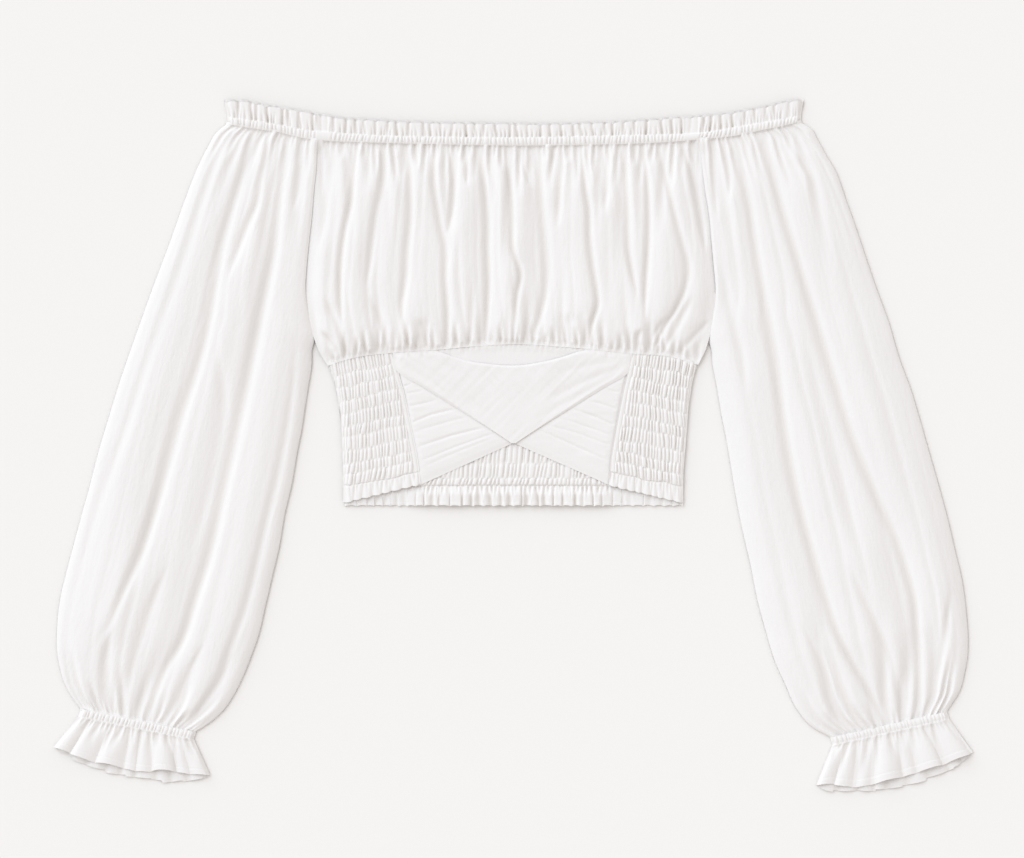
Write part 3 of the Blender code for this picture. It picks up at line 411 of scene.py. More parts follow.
def voile(name, colour, crinkle=1.0, along=3.5, turn=0.0):
    """Cotton and viscose voile, woven plain and washed soft: matt, with faint threads and small crinkles."""
    material = bpy.data.materials.new(name)
    material.use_nodes = True
    tree = material.node_tree
    shader = tree.nodes["Principled BSDF"]
    place = add_node(tree, "ShaderNodeTexCoord").outputs["Object"]
    # Threads lie 0.3 mm apart, too fine to show here, so they are drawn 1.4 mm apart.
    threads = []
    for axis in (0, 1):
        turned = add_node(tree, "ShaderNodeMapping", {"Rotation": (0, 0, axis * np.pi / 2)}, {"Vector": place})
        threads.append(add_node(tree, "ShaderNodeTexWave", {"Scale": 2 * np.pi / (20 * 1.4 * MM), "Distortion": 1.6,
                                                            "Detail": 2.0, "Detail Scale": 2.0},
                                {"Vector": turned.outputs["Vector"]}).outputs["Fac"])
    weave = add_node(tree, "ShaderNodeMath", {"operation": "MULTIPLY"}, {0: threads[0], 1: threads[1]}).outputs[0]
    stretched = add_node(tree, "ShaderNodeMapping", {"vector_type": "TEXTURE", "Rotation": (0, 0, turn),
                                                     "Scale": (1.0, along, 1.0)}, {"Vector": place}).outputs["Vector"]
    # Crinkles from washing are 2 to 5 mm wide and run mostly down the cloth.
    crinkles = add_node(tree, "ShaderNodeTexNoise", {"Scale": 330.0, "Detail": 3.0, "Roughness": 0.55},
                        {"Vector": stretched}).outputs["Fac"]
    soft = add_node(tree, "ShaderNodeTexNoise", {"Scale": 22.0, "Detail": 2.0}, {"Vector": place}).outputs["Fac"]
    bumped = add_node(tree, "ShaderNodeBump", {"Strength": 0.6 * crinkle, "Distance": 0.6 * MM}, {"Height": crinkles})
    woven = add_node(tree, "ShaderNodeBump", {"Strength": 0.25, "Distance": 0.12 * MM},
                     {"Height": weave, "Normal": bumped.outputs["Normal"]})
    darker = tuple(c * 0.975 for c in srgb(colour)[:3]) + (1.0,)
    shade = add_node(tree, "ShaderNodeMix", {"data_type": "RGBA"}, {"Factor": soft})
    shade.inputs[6].default_value, shade.inputs[7].default_value = darker, srgb(colour)
    # Painted shade: the colour turns darker and warmer where the cloth lies deep in a gather or fold, standing in for
    # the shade that falls there.
    depth = add_node(tree, "ShaderNodeAttribute", {"attribute_name": "hollow"}).outputs["Fac"]
    painted_shade = add_node(tree, "ShaderNodeMix", {"data_type": "RGBA"}, {"Factor": depth})
    tree.links.new(shade.outputs[2], painted_shade.inputs[6])
    painted_shade.inputs[7].default_value = srgb(PAINTED_SHADE_COLOUR)
    tree.links.new(painted_shade.outputs[2], shader.inputs["Base Color"])
    tree.links.new(woven.outputs["Normal"], shader.inputs["Normal"])
    shader.inputs["Roughness"].default_value = 0.86
    shader.inputs["Specular IOR Level"].default_value = 0.25
    shader.inputs["IOR"].default_value = 1.46
    shader.inputs["Sheen Weight"].default_value = 0.12
    shader.inputs["Sheen Roughness"].default_value = 0.5
    return material


def painted_shade_mask(rows):
    """How deep each point of a grid lies in its gather or fold, from 0 to 1 at 1.6 mm below its surroundings; this is
    the mask of the painted shade.
    """
    step = float(np.median(np.linalg.norm(np.diff(rows[:, :, :2], axis=1), axis=-1))) / MM
    reach = max(2, int(round(4.5 / step)))
    weights = np.hanning(2 * reach + 3)[1:-1]
    padded = np.pad(rows[..., 2] / MM, ((0, 0), (reach, reach)), mode="edge")
    around = sum(w * padded[:, k:k + rows.shape[1]] for k, w in enumerate(weights)) / weights.sum()
    return np.clip((around - rows[..., 2] / MM) / 1.6, 0, 1)


def cloth(name, rows, material, nodes, joined=False, slit=0, turned=False):
    """An object from a grid of points in metres; a joined grid is a tube, open along its first `slit` rows."""
    count, columns = rows.shape[:2]
    mesh = bpy.data.meshes.new(name)
    index = np.arange(count * columns).reshape(count, columns)
    right = np.roll(index, -1, axis=1) if joined else index[:, 1:]
    left = index if joined else index[:, :-1]
    quads = np.stack([left[:-1], left[1:], right[1:], right[:-1]], axis=-1)
    kept = np.ones(quads.shape[:2], bool)
    kept[:slit, -1] = False
    quads = quads[kept]
    if turned:
        quads = quads[:, ::-1]
    mesh.from_pydata(rows.reshape(-1, 3).tolist(), [], quads.tolist())
    mesh.polygons.foreach_set("use_smooth", [True] * len(mesh.polygons))
    mesh.materials.append(material)
    # Each point's depth in its fold is stored as the mask of the painted shade.
    mesh.attributes.new("hollow", "FLOAT", "POINT").data.foreach_set("value", painted_shade_mask(rows).ravel())
    piece = bpy.data.objects.new(name, mesh)
    bpy.context.scene.collection.objects.link(piece)
    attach(piece, "root")
    if nodes:
        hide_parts(*nodes)
    return piece


def lift(x, y, z):
    """Points in metres from plan x, y and heights in mm."""
    px, py = plan(x, y)
    return np.stack(np.broadcast_arrays(px, py, np.asarray(z) * MM), axis=-1)


def neck_edge(x):
    table = np.transpose(NECKLINE)
    return spline(x, table[0], table[3])


def underbust(x):
    return spline(x, *np.transpose(UNDERBUST))


def crowded(count):
    """Shares from 0 to 1 that lie closer together at both ends."""
    even = np.linspace(0, 1, count)
    return 0.6 * (0.5 - 0.5 * np.cos(np.pi * even)) + 0.4 * even


def streaks(across, down, pitch, depth, length, seed, sharp):
    """Long narrow troughs down the whole cloth that come and go, in mm."""
    wander = across + 0.35 * pitch * lattice(across, down, 3 * pitch, length, seed)
    strength = ease(lattice(across, down, 1.7 * pitch, 0.8 * length, seed + 1), -0.55, 0.6)
    return -depth * strength * (1 - gather_line(wander, pitch, seed + 2, sharp))


def bodice_grid(columns, rows, tuck):
    """Plan x, y of a bodice layer, its top tucked under the casing by so many steps."""
    shares = crowded(rows)[:, None]
    ys, lefts, rights = np.transpose(BODICE_SIDE)
    level = ys[0] + (ys[-1] - ys[0]) * shares
    left, right = spline(level, ys, lefts), spline(level, ys, rights)
    x = left + (right - left) * np.linspace(0, 1, columns)[None, :]
    top, foot = neck_edge(x) - tuck, underbust(x)
    return x, top + (foot - top) * shares, left, right


def look(context):
    return context.scene.top_look


class TopLook(bpy.types.PropertyGroup):
    """Sizes and colours of the cloth and the stage."""

    fold_depth: bpy.props.FloatProperty(name="Fold depth", description="How deep the folds lie, 1 as laid",
                                        default=1.0, min=0.2, max=1.5)
    gather_depth: bpy.props.FloatProperty(name="Gather depth", description="Depth of the gathers at the seams",
                                          default=2.0 * MM, unit="LENGTH", subtype="DISTANCE")
    flute_height: bpy.props.FloatProperty(name="Cuff flutes", description="Height of the flutes of the cuff ruffles",
                                          default=3.1 * MM, unit="LENGTH", subtype="DISTANCE")
    frill_height: bpy.props.FloatProperty(name="Neck frill", description="Height of the neck frill's waves",
                                          default=2.0 * MM, unit="LENGTH", subtype="DISTANCE")
    smock_height: bpy.props.FloatProperty(name="Shirring", description="Height of the puffs between shirring rows",
                                          default=1.55 * MM, unit="LENGTH", subtype="DISTANCE")
    cloth_colour: bpy.props.StringProperty(name="Cloth", description="Colour of the cloth as sRGB hex",
                                           default="E8E4E1")
    floor_colour: bpy.props.StringProperty(name="Surface", description="Colour of the surface as sRGB hex",
                                           default="EBE7E3")


class TOP_OT_bodice(bpy.types.Operator):
    """Front and back of the bodice with their gathers and folds"""

    bl_idname = "top.bodice"
    bl_label = "Bodice"

    def execute(self, context):
        sizes = look(context)
        material = voile("woven_white_voile_bodice", sizes.cloth_colour)
        x, y, left, right = bodice_grid(480, 130, 1.6)
        away_top, away_foot = y - neck_edge(x), underbust(x) - y
        side = np.minimum(x - left, right - x)
        fine = sizes.gather_depth / MM
        relief = sum(trough(x, y, fold) for fold in BODICE_FOLDS) * sizes.fold_depth
        for pitch, depth, reach, seed, sharp in ((5.4, 0.9, 18, 11, 0.25), (10.5, 1.9, 48, 12, 0.18),
                                                 (21, 1.3, 130, 13, 0.15)):
            relief += fine * gathers(x, away_top, pitch, depth, reach, seed, sharp)
        for pitch, depth, reach, seed, sharp in ((5.0, 0.9, 12, 21, 0.25), (9.5, 1.6, 32, 22, 0.18),
                                                 (19, 0.9, 80, 23, 0.15)):
            relief += fine * gathers(x, away_foot, pitch, depth, reach, seed, sharp)
        flow = (x - left) / (right - left) * 400
        relief += streaks(flow, y, 19, 0.55, 130, 24, 0.16) + streaks(flow, y, 8, 0.1, 80, 27, 0.22)
        relief += 1.0 * lattice(flow, y, 26, 90, 5) + 0.3 * lattice(flow, y, 9, 70, 6)
        plateau = 5.6 + 3.2 * ease(away_top, -4, 55) * ease(away_foot, -14, 22)
        plateau = 2.5 + (plateau - 2.5) * np.maximum(ease(side, -3, 24) ** 0.8, 1 - ease(away_top, -2, 16))
        height = carve(plateau, 1.9 * relief * ease(side, 0, 9), 1.6)
        foot = 2.6 + 1.6 * ease(side, -6, 16)
        height = foot + (height - foot) * ease(away_foot, -1, 6)
        height = 4.7 + (height - 4.7) * ease(away_top, -1.5, 1.5)
        front = cloth("bodice_front_cloth", lift(x, y, height), material, ["front_bodice"])

        x, y, left, right = bodice_grid(180, 80, 2.0)
        away_top, away_foot = y - neck_edge(x), underbust(x) - y
        hollow = -gathers(x, away_top, 8, 1.2, 90, 41) - gathers(x, away_foot, 7, 1.0, 50, 43)
        hollow = np.minimum(hollow + 0.15 * (1 + lattice(x, y, 12, 60, 44)), 1.3)
        back = cloth("bodice_back_cloth", lift(x, y, BACK_LEVEL + hollow)[:, ::-1], material, ["back_bodice"])
        return {"FINISHED"}


def local(points, axis, body_side):
    """Plan points as steps down the sleeve and steps across it towards the body."""
    (x0, y0), (x1, y1) = axis
    length = np.hypot(x1 - x0, y1 - y0)
    down = ((x1 - x0) / length, (y1 - y0) / length)
    across = (down[1] * body_side, -down[0] * body_side)
    points = np.asarray(points, float)
    dx, dy = points[..., 0] - x0, points[..., 1] - y0
    return dx * down[0] + dy * down[1], dx * across[0] + dy * across[1]


def from_local(along, across_by, axis, body_side):
    (x0, y0), (x1, y1) = axis
    length = np.hypot(x1 - x0, y1 - y0)
    down = ((x1 - x0) / length, (y1 - y0) / length)
    across = (down[1] * body_side, -down[0] * body_side)
    return x0 + along * down[0] + across_by * across[0], y0 + along * down[1] + across_by * across[1]


def make_sleeve(name, side, axis, body_side, outer, inner, folds, column, sizes, seed):
    (x0, y0), (x1, y1) = axis
    material = voile(f"woven_white_voile_sleeve_{side}", sizes.cloth_colour, 1.0, 3.5, np.arctan2(x1 - x0, y1 - y0))
    seam = [(row[column] + body_side * 1.3, row[0]) for row in BODICE_SIDE[:11]]
    inner_line, outer_line = local([*seam, *inner], axis, body_side), local(outer, axis, body_side)
    length = inner_line[0][-1] + 4.5
    underarm = local([seam[7]], axis, body_side)[0][0]
    columns = 190
    along = length * crowded(230)[:, None]
    low, high = spline(along, *inner_line), spline(along, *outer_line)
    even = np.linspace(0, 1, columns)
    share = (0.35 * (0.5 - 0.5 * np.cos(np.pi * even)) + 0.65 * even)[None, :]
    by = low + (high - low) * share
    x, y = from_local(along, by, axis, body_side)
    relief = np.zeros(x.shape)
    for depth, width, start, end, points in folds:
        line = local(points, axis, body_side)
        relief += trough(by, np.broadcast_to(along, by.shape), (depth, width, start, end, list(zip(line[1], line[0]))))
    relief *= sizes.fold_depth
    fine = sizes.gather_depth / MM
    neck_wide, cuff_wide = float(abs(high - low)[0, 0]), float(abs(high - low)[-1, 0])
    for pitch, depth, reach, step, sharp in ((5.2, 1.1, 20, 0, 0.25), (10, 2.1, 70, 1, 0.17), (20, 1.7, 150, 2, 0.14)):
        relief += fine * gathers(share * neck_wide, along, pitch, depth, reach, seed + step, sharp)
    for pitch, depth, reach, step, sharp in ((5.2, 1.2, 18, 3, 0.25), (10, 2.5, 55, 4, 0.16), (20, 2.4, 130, 5, 0.14)):
        relief += fine * gathers(share * cuff_wide, length - 2 - along, pitch, depth, reach, seed + step, sharp)
    flow = share * 170
    relief += streaks(flow, along, 24, 0.7, 260, seed + 10, 0.15) + streaks(flow, along, 9, 0.1, 130, seed + 13, 0.22)
    relief += 0.9 * lattice(flow, along, 26, 170, seed + 6) + 0.3 * lattice(flow, along, 9, 120, seed + 7)
    wide = 2 * share - 1
    rim = np.clip(1 - np.abs(wide) ** 8, 0, 1) ** 0.75
    joined = ease(along, underarm - 10, underarm + 50)
    inner_side = wide < 0
    rim = np.where(inner_side, 1 - joined * (1 - rim), rim)
    crown = np.interp(along / length, (0, 0.06, 0.25, 0.6, 0.85, 0.95, 1), (0.6, 0.8, 0.95, 1.05, 1.1, 0.8, 0.5))
    sag = np.where(inner_side, np.abs(wide) ** 3 * (0.62 - 0.3 * joined), np.abs(wide) ** 4 * 0.4)
    top = carve(0.9 + 7.2 * crown * (1 - sag), 1.8 * relief * ease(1 - np.abs(wide), 0, 0.2), 0.6)
    height = 1.3 + top * rim
    from_seam = share * np.abs(high - low)
    height -= 0.6 * (1 - ease(from_seam, 0, 3.0)) * (1 - joined)
    height += 1.8 * (1 - ease(from_seam, 2, 12)) * (1 - ease(along, 3, 16))
    tucked = ease(along, 0.3, 3.2) * ease(length - along, 1.8, 4.8)
    tuck_z = np.where(along < length / 2, 4.7, 3.8)
    height = tuck_z + (height - tuck_z) * np.maximum(tucked, 1 - ease(rim, 0.3, 1))
    back_share = share[:, ::-1][:, 1:-1:3]
    back_by = low + (high - low) * back_share
    back_x, back_y = from_local(along, back_by, axis, body_side)
    back_wide = 2 * back_share - 1
    back_rim = np.clip(1 - np.abs(back_wide) ** 8, 0, 1) ** 0.75
    back_rim = np.where(back_wide < 0, 1 - joined * (1 - back_rim), back_rim)
    hollow = -gathers(back_share * neck_wide, along, 9, 1.3, 160, seed + 8)
    hollow -= gathers(back_share * cuff_wide, length - along, 9, 1.3, 130, seed + 9)
    under = 1.3 - (1.3 - BACK_LEVEL) * back_rim + np.clip(hollow, 0, 1.3) * back_rim
    x, y, height = (np.concatenate(pair, axis=1) for pair in ((x, back_x), (y, back_y), (height, under)))
    shift = (neck_edge(x[0]) - 2.0 - y[0]) * np.clip(1 - np.arange(len(x)) / 24, 0, 1)[:, None]
    armhole = int(np.searchsorted(along[:, 0], underarm))
    piece = cloth(f"sleeve_{side}_cloth", lift(x, y + shift, height), material, [name], joined=True,
                  slit=armhole, turned=body_side < 0)


class TOP_OT_sleeves(bpy.types.Operator):
    """Both sleeves, front and back in one piece round the outer fold"""

    bl_idname = "top.sleeves"
    bl_label = "Sleeves"

    def execute(self, context):
        sizes = look(context)
        make_sleeve("sleeve_left", "left", LEFT_AXIS, 1, LEFT_OUTER, LEFT_INNER, LEFT_FOLDS, 1, sizes, 51)
        make_sleeve("sleeve_right", "right", RIGHT_AXIS, -1, RIGHT_OUTER, RIGHT_INNER, RIGHT_FOLDS, 2, sizes, 71)
        return {"FINISHED"}


class TOP_OT_neck(bpy.types.Operator):
    """Elastic casing and frill all round the neckline"""

    bl_idname = "top.neck"
    bl_label = "Neck casing and frill"

    def execute(self, context):
        sizes = look(context)
        material = voile("woven_white_voile_frill", sizes.cloth_colour, 0.6)
        xs, frill, casing, low = np.transpose(NECKLINE)
        layers = []
        for back in (False, True):
            x = np.linspace(xs[0], xs[-1], 460 if back else 980)[None, :]
            down = np.linspace(0, 1, 34)[:, None]
            split = 0.6
            edge, top, foot = (spline(x, xs, line) for line in (frill, casing, low))
            fan = ease(1 - down / split, 0.0, 0.8)
            slant = 1.6 * (1 - fan) * lattice(x, 0 * x, 9, 9, 36)
            tongues = gather_line(x + slant, 10.8, 31 + back, 0.15)
            darts = gather_line(x + slant, 5.0, 35, 0.22)
            plain = 1 - sum(ease(x, a - 2, a + 1) * ease(b + 2 - x, 0, 3) for a, b in BOX_STITCHES)
            edge = edge + 1.6 * (1 - tongues[:1]) - 2.4 * back + 0.5 * lattice(x, 0 * x, 15, 9, 3)
            y = np.where(down < split, edge + (top - edge) * down / split,
                         top + (foot - top) * (down - split) / (1 - split))
            ends = ease(np.minimum(x - xs[0], xs[-1] - x), 0, 6)
            flare = 2.4 * ((x < xs[0] + 40) * -1.0 + (x > xs[-1] - 40) * 1.0) * (1 - ease(np.minimum(
                x - xs[0], xs[-1] - x), 0, 15)) * ease(1 - down / split, 0, 1)
            across = x + flare
            between = np.clip((down - split) / (1 - split), 0, 1)
            puff = np.sin(np.pi * between) ** 0.7
            leaning = x + 2.2 * (between - 0.5) * (0.4 + lattice(x, 0 * x, 22, 9, 37))
            pinch = gather_line(leaning, 3.9, 33, 0.36) * (1 - puff) + gather_line(leaning, 3.9, 33, 0.22) * puff
            pinch = pinch * plain + 0.9 * (1 - plain)
            inside = ease(down, split - 0.03, split + 0.05)
            tall = sizes.frill_height / MM
            if back:
                z = BACK_LEVEL + 1.2 * tongues * (0.35 + 0.65 * fan) + 0 * down
            else:
                frill_z = 4.2 + tall * (tongues * (0.35 + 0.65 * plain) - 0.75) - 1.6 * (1 - darts) * (1 - fan) * plain
                casing_z = 4.0 + (0.45 + 0.7 * puff) * pinch + 0.1 * puff
                z = frill_z + (casing_z - frill_z) * inside
                z = 1.5 + (z - 1.5) * ends
            layers.append(lift(across, y, z))
        ring = np.concatenate([layers[0], layers[1][:, ::-1]], axis=1)
        piece = cloth("neck_frill_cloth", ring, material, ["neck_casing"], joined=True)
        return {"FINISHED"}


def lapped(share, laps):
    """How far the corners of overlapping laps jut out: rising along each lap and dropping at its end."""
    out, start = np.zeros(np.shape(share)), 0.0
    for end, jut in laps:
        inside = (share >= start) & (share < end)
        out = np.where(inside, jut * ((share - start) / (end - start)) ** 0.7, out)
        start = end
    return out


def make_cuff(name, side, axis, body_side, inner, outer, hem_front, hem_back, flutes, laps, sizes, material, seed):
    inner_end, outer_end = np.array(inner[-1], float), np.array(outer[-1], float)
    down = np.array(from_local(1.0, 0.0, axis, body_side)) - np.array(from_local(0.0, 0.0, axis, body_side))
    reach = np.linalg.norm(outer_end - inner_end)
    out = (outer_end - inner_end) / reach
    hem_reach = np.linalg.norm(np.subtract(hem_front[-1], hem_front[0]))
    scale = sizes.flute_height / MM / 5.0
    layers = []
    for back, hem in ((False, hem_front), (True, hem_back)):
        share = np.linspace(0, 1, 150 if back else 380)
        s = share * hem_reach
        if back:
            rise, shift = fluted(s, flute_rows(0, hem_reach, 17, 1.4, seed + 1), 0.3)
            corners = lapped(share, laps)
        else:
            rise, shift = fluted(s, [(a * hem_reach, b * hem_reach, h * scale, lean) for a, b, h, lean in flutes])
        top = inner_end + (outer_end - inner_end) * share[:, None]
        casing, foot = top + 8.0 * down, line_at(share, hem)
        ends = ease(np.minimum(share, 1 - share), 0, 0.04)
        rows = []
        for run in np.linspace(0, 1, 11)[:-1]:
            puff = np.sin(np.pi * run) ** 0.7
            pinch = gather_line(share * reach + 2.0 * (run - 0.5), 3.8, seed + 4, 0.34 - 0.12 * puff)
            z = BACK_LEVEL + 0.6 * (1 - pinch) if back else 3.5 + (0.25 + 0.65 * puff) * pinch + 0.1 * puff
            z = z if back else 1.5 + (z - 1.5) * ends
            place = top + 8.0 * down * run + out[None, :] * (0.9 * (run - 0.5))
            rows.append(lift(place[:, 0], place[:, 1], z))
        for run in np.linspace(0, 1, 52):
            fan, away = ease(run, -0.1, 0.85), run * 40
            recede = 0.5 * rise * fan * run
            if back:
                recede = (0.6 - corners) * ease(run, 0.35, 1)
            place = casing + (foot - casing) * run + out * (shift * fan)[:, None] - down * recede[:, None]
            folds = gathers(share * reach, away, 5.4, 1.8, 16, seed + 5, 0.22) + gathers(
                share * reach, away, 10.5, 3.2, 38, seed + 6, 0.16)
            folded = 0.22 * ease(run, 0.84, 0.855) - 0.2 * np.exp(-(((run - 0.845) / 0.01) ** 2))
            if back:
                z = BACK_LEVEL + np.minimum(0.6 * fan + rise * fan * ends - 0.3 * folds, 1.7)
            else:
                z = carve(4.5 + (rise - 2.2) * fan + folded, folds * (1 - 0.3 * fan) * ease(run, -0.02, 0.08), 1.9)
                z = 1.4 + (z - 1.4) * (0.25 + 0.75 * ends)
            rows.append(lift(place[:, 0], place[:, 1], z))
        layers.append(np.array(rows))
    ring = np.concatenate([layers[0], layers[1][:, ::-1]], axis=1)
    piece = cloth(f"cuff_{side}_cloth", ring, material, [name], joined=True,
                  turned=body_side < 0)


class TOP_OT_cuffs(bpy.types.Operator):
    """Elastic casing and long ruffle at each wrist"""

    bl_idname = "top.cuffs"
    bl_label = "Cuffs"

    def execute(self, context):
        sizes = look(context)
        material = voile("woven_white_voile_cuffs", sizes.cloth_colour, 0.7)
        make_cuff("cuff_left", "left", LEFT_AXIS, 1, LEFT_INNER, LEFT_OUTER, LEFT_HEM_FRONT, LEFT_HEM_BACK,
                  LEFT_FLUTES, LEFT_LAPS, sizes, material, 91)
        make_cuff("cuff_right", "right", RIGHT_AXIS, -1, RIGHT_INNER, RIGHT_OUTER, RIGHT_HEM_FRONT,
                  RIGHT_HEM_BACK, RIGHT_FLUTES, RIGHT_LAPS, sizes, material, 97)
        return {"FINISHED"}


def smocking(s, level, pitch, seed, last):
    """Puffs between shirring rows, cut by uneven gathers that change at each row: 0 to 1."""
    total = np.zeros(np.broadcast(s, level).shape)
    for row in range(last):
        part = np.clip(level - row, 0, 1)
        puff = 1 - np.exp(-((part / 0.16) ** 2)) - np.exp(-(((1 - part) / 0.16) ** 2))
        leaning = s + 1.4 * (part - 0.5) + 0.9 * lattice(s, part, 13, 1.0, seed + row)
        ridges = gather_line(leaning, pitch, seed + 7 * row, 0.36) * (1 - puff)
        ridges = ridges + gather_line(leaning, pitch, seed + 7 * row, 0.22) * puff
        total = np.where((level >= row) & (level < row + 1), (0.8 + 0.2 * puff) * (0.1 + 0.9 * ridges), total)
    return total


def make_side_panel(name, side, sections, sizes, material, seed):
    across, down = np.linspace(0, 1, 170), np.linspace(0, 1, 220)
    x, y = section_grid(sections, across, down)
    share = across[None, :]
    outer_y = y[:, :1]
    last = len(SHIRRING) - 2
    wide = 76.0
    level = np.interp(outer_y, SHIRRING, range(len(SHIRRING))) + 0.1 * lattice(share * wide, y, 11, 13, seed + 40)
    flat_edge = ease(share, 0.915, 0.935)
    puffs = smocking(share * wide, level, 3.9, seed, last) * (1 - flat_edge) + 0.5 * flat_edge * (level < last)
    ruffle = ease(level, last, last + 1.0)
    rise, shift = fluted(share * wide, flute_rows(0, wide, 8.5, 1.3, seed + 2), 0.8)
    tall = sizes.smock_height / MM * (1.0 if side == "left" else 1.3)
    z = BAND_LEVEL - 0.3 + tall * puffs + 0.35 * lattice(x, y, 30, 30, seed)
    pleats = gather_line(share * wide + 0 * level, 3.9, seed + 7 * (last - 1), 0.3)
    z = z + (level >= last) * ((0.5 + rise) * ruffle + 0.9 * pleats * (1 - ruffle) * ease(level - last, 0, 0.15))
    for line in (0.93, 0.985):
        z = z - 0.4 * np.exp(-(((share - line) / 0.008) ** 2)) * (1 - ruffle)
    z = 1.6 + (z - 1.6) * (0.3 + 0.7 * ease(share, 0, 0.08))
    z = 3.9 + (z - 3.9) * np.maximum(ease(level, 0, 0.3), 1 - ease(share, 0, 0.1))
    row = np.linspace(0, 1, len(down))[:, None]
    y = y + (underbust(x[:1]) - 2.2 - y[:1]) * (1 - row) ** 8 + (0.9 * rise - 0.5) * ease(row, 0.93, 1)
    x = x + shift * ruffle * (1 if side == "left" else -1)
    piece = cloth(f"side_panel_{side}_cloth", lift(x, y, z), material, [name],
                  turned=side == "right")


def make_wrap_panel(name, side, sections, pleats, sizes, material, seed):
    across, down = np.linspace(-0.08, 1, 140), np.linspace(0, 1, 160)
    x, y = section_grid(sections, across, down)
    tucked = OVERLAY[1][:2] if side == "left" else OVERLAY[1][2:]
    tip = OVERLAY[-1][:2] if side == "left" else OVERLAY[-1][2:]
    slope = (tip[1] - tucked[1]) / (tip[0] - tucked[0])
    below = (y - tucked[1] - slope * (x - tucked[0])) / np.hypot(1, slope)
    shown = ease(below, -1, 6)
    relief = sum(crease(x, y, *pleat) for pleat in pleats) + 0.25 * lattice(x, y, 16, 12, seed)
    relief += 0.18 * lattice(x + 2.2 * y, y, 40, 4, seed + 1)
    rows, cols = down[:, None], across[None, :]
    relief += 0.9 * gathers(y, cols * 80, 5.0, 0.6, 12, seed + 2, 0.22)
    height = BAND_LEVEL + 0.2 + (0.4 + 0.55 * relief) * shown * ease(cols, -0.01, 0.05) * (1 - ease(rows, 0.85, 1))
    height = height - 0.5 * ease(rows, 0.94, 1)
    height = height - 0.4 * (1 - ease(cols, -0.03, 0.01))
    piece = cloth(f"wrap_panel_{side}_cloth", lift(x, y, np.maximum(height, 2.4)), material, [name],
                  turned=side == "right")


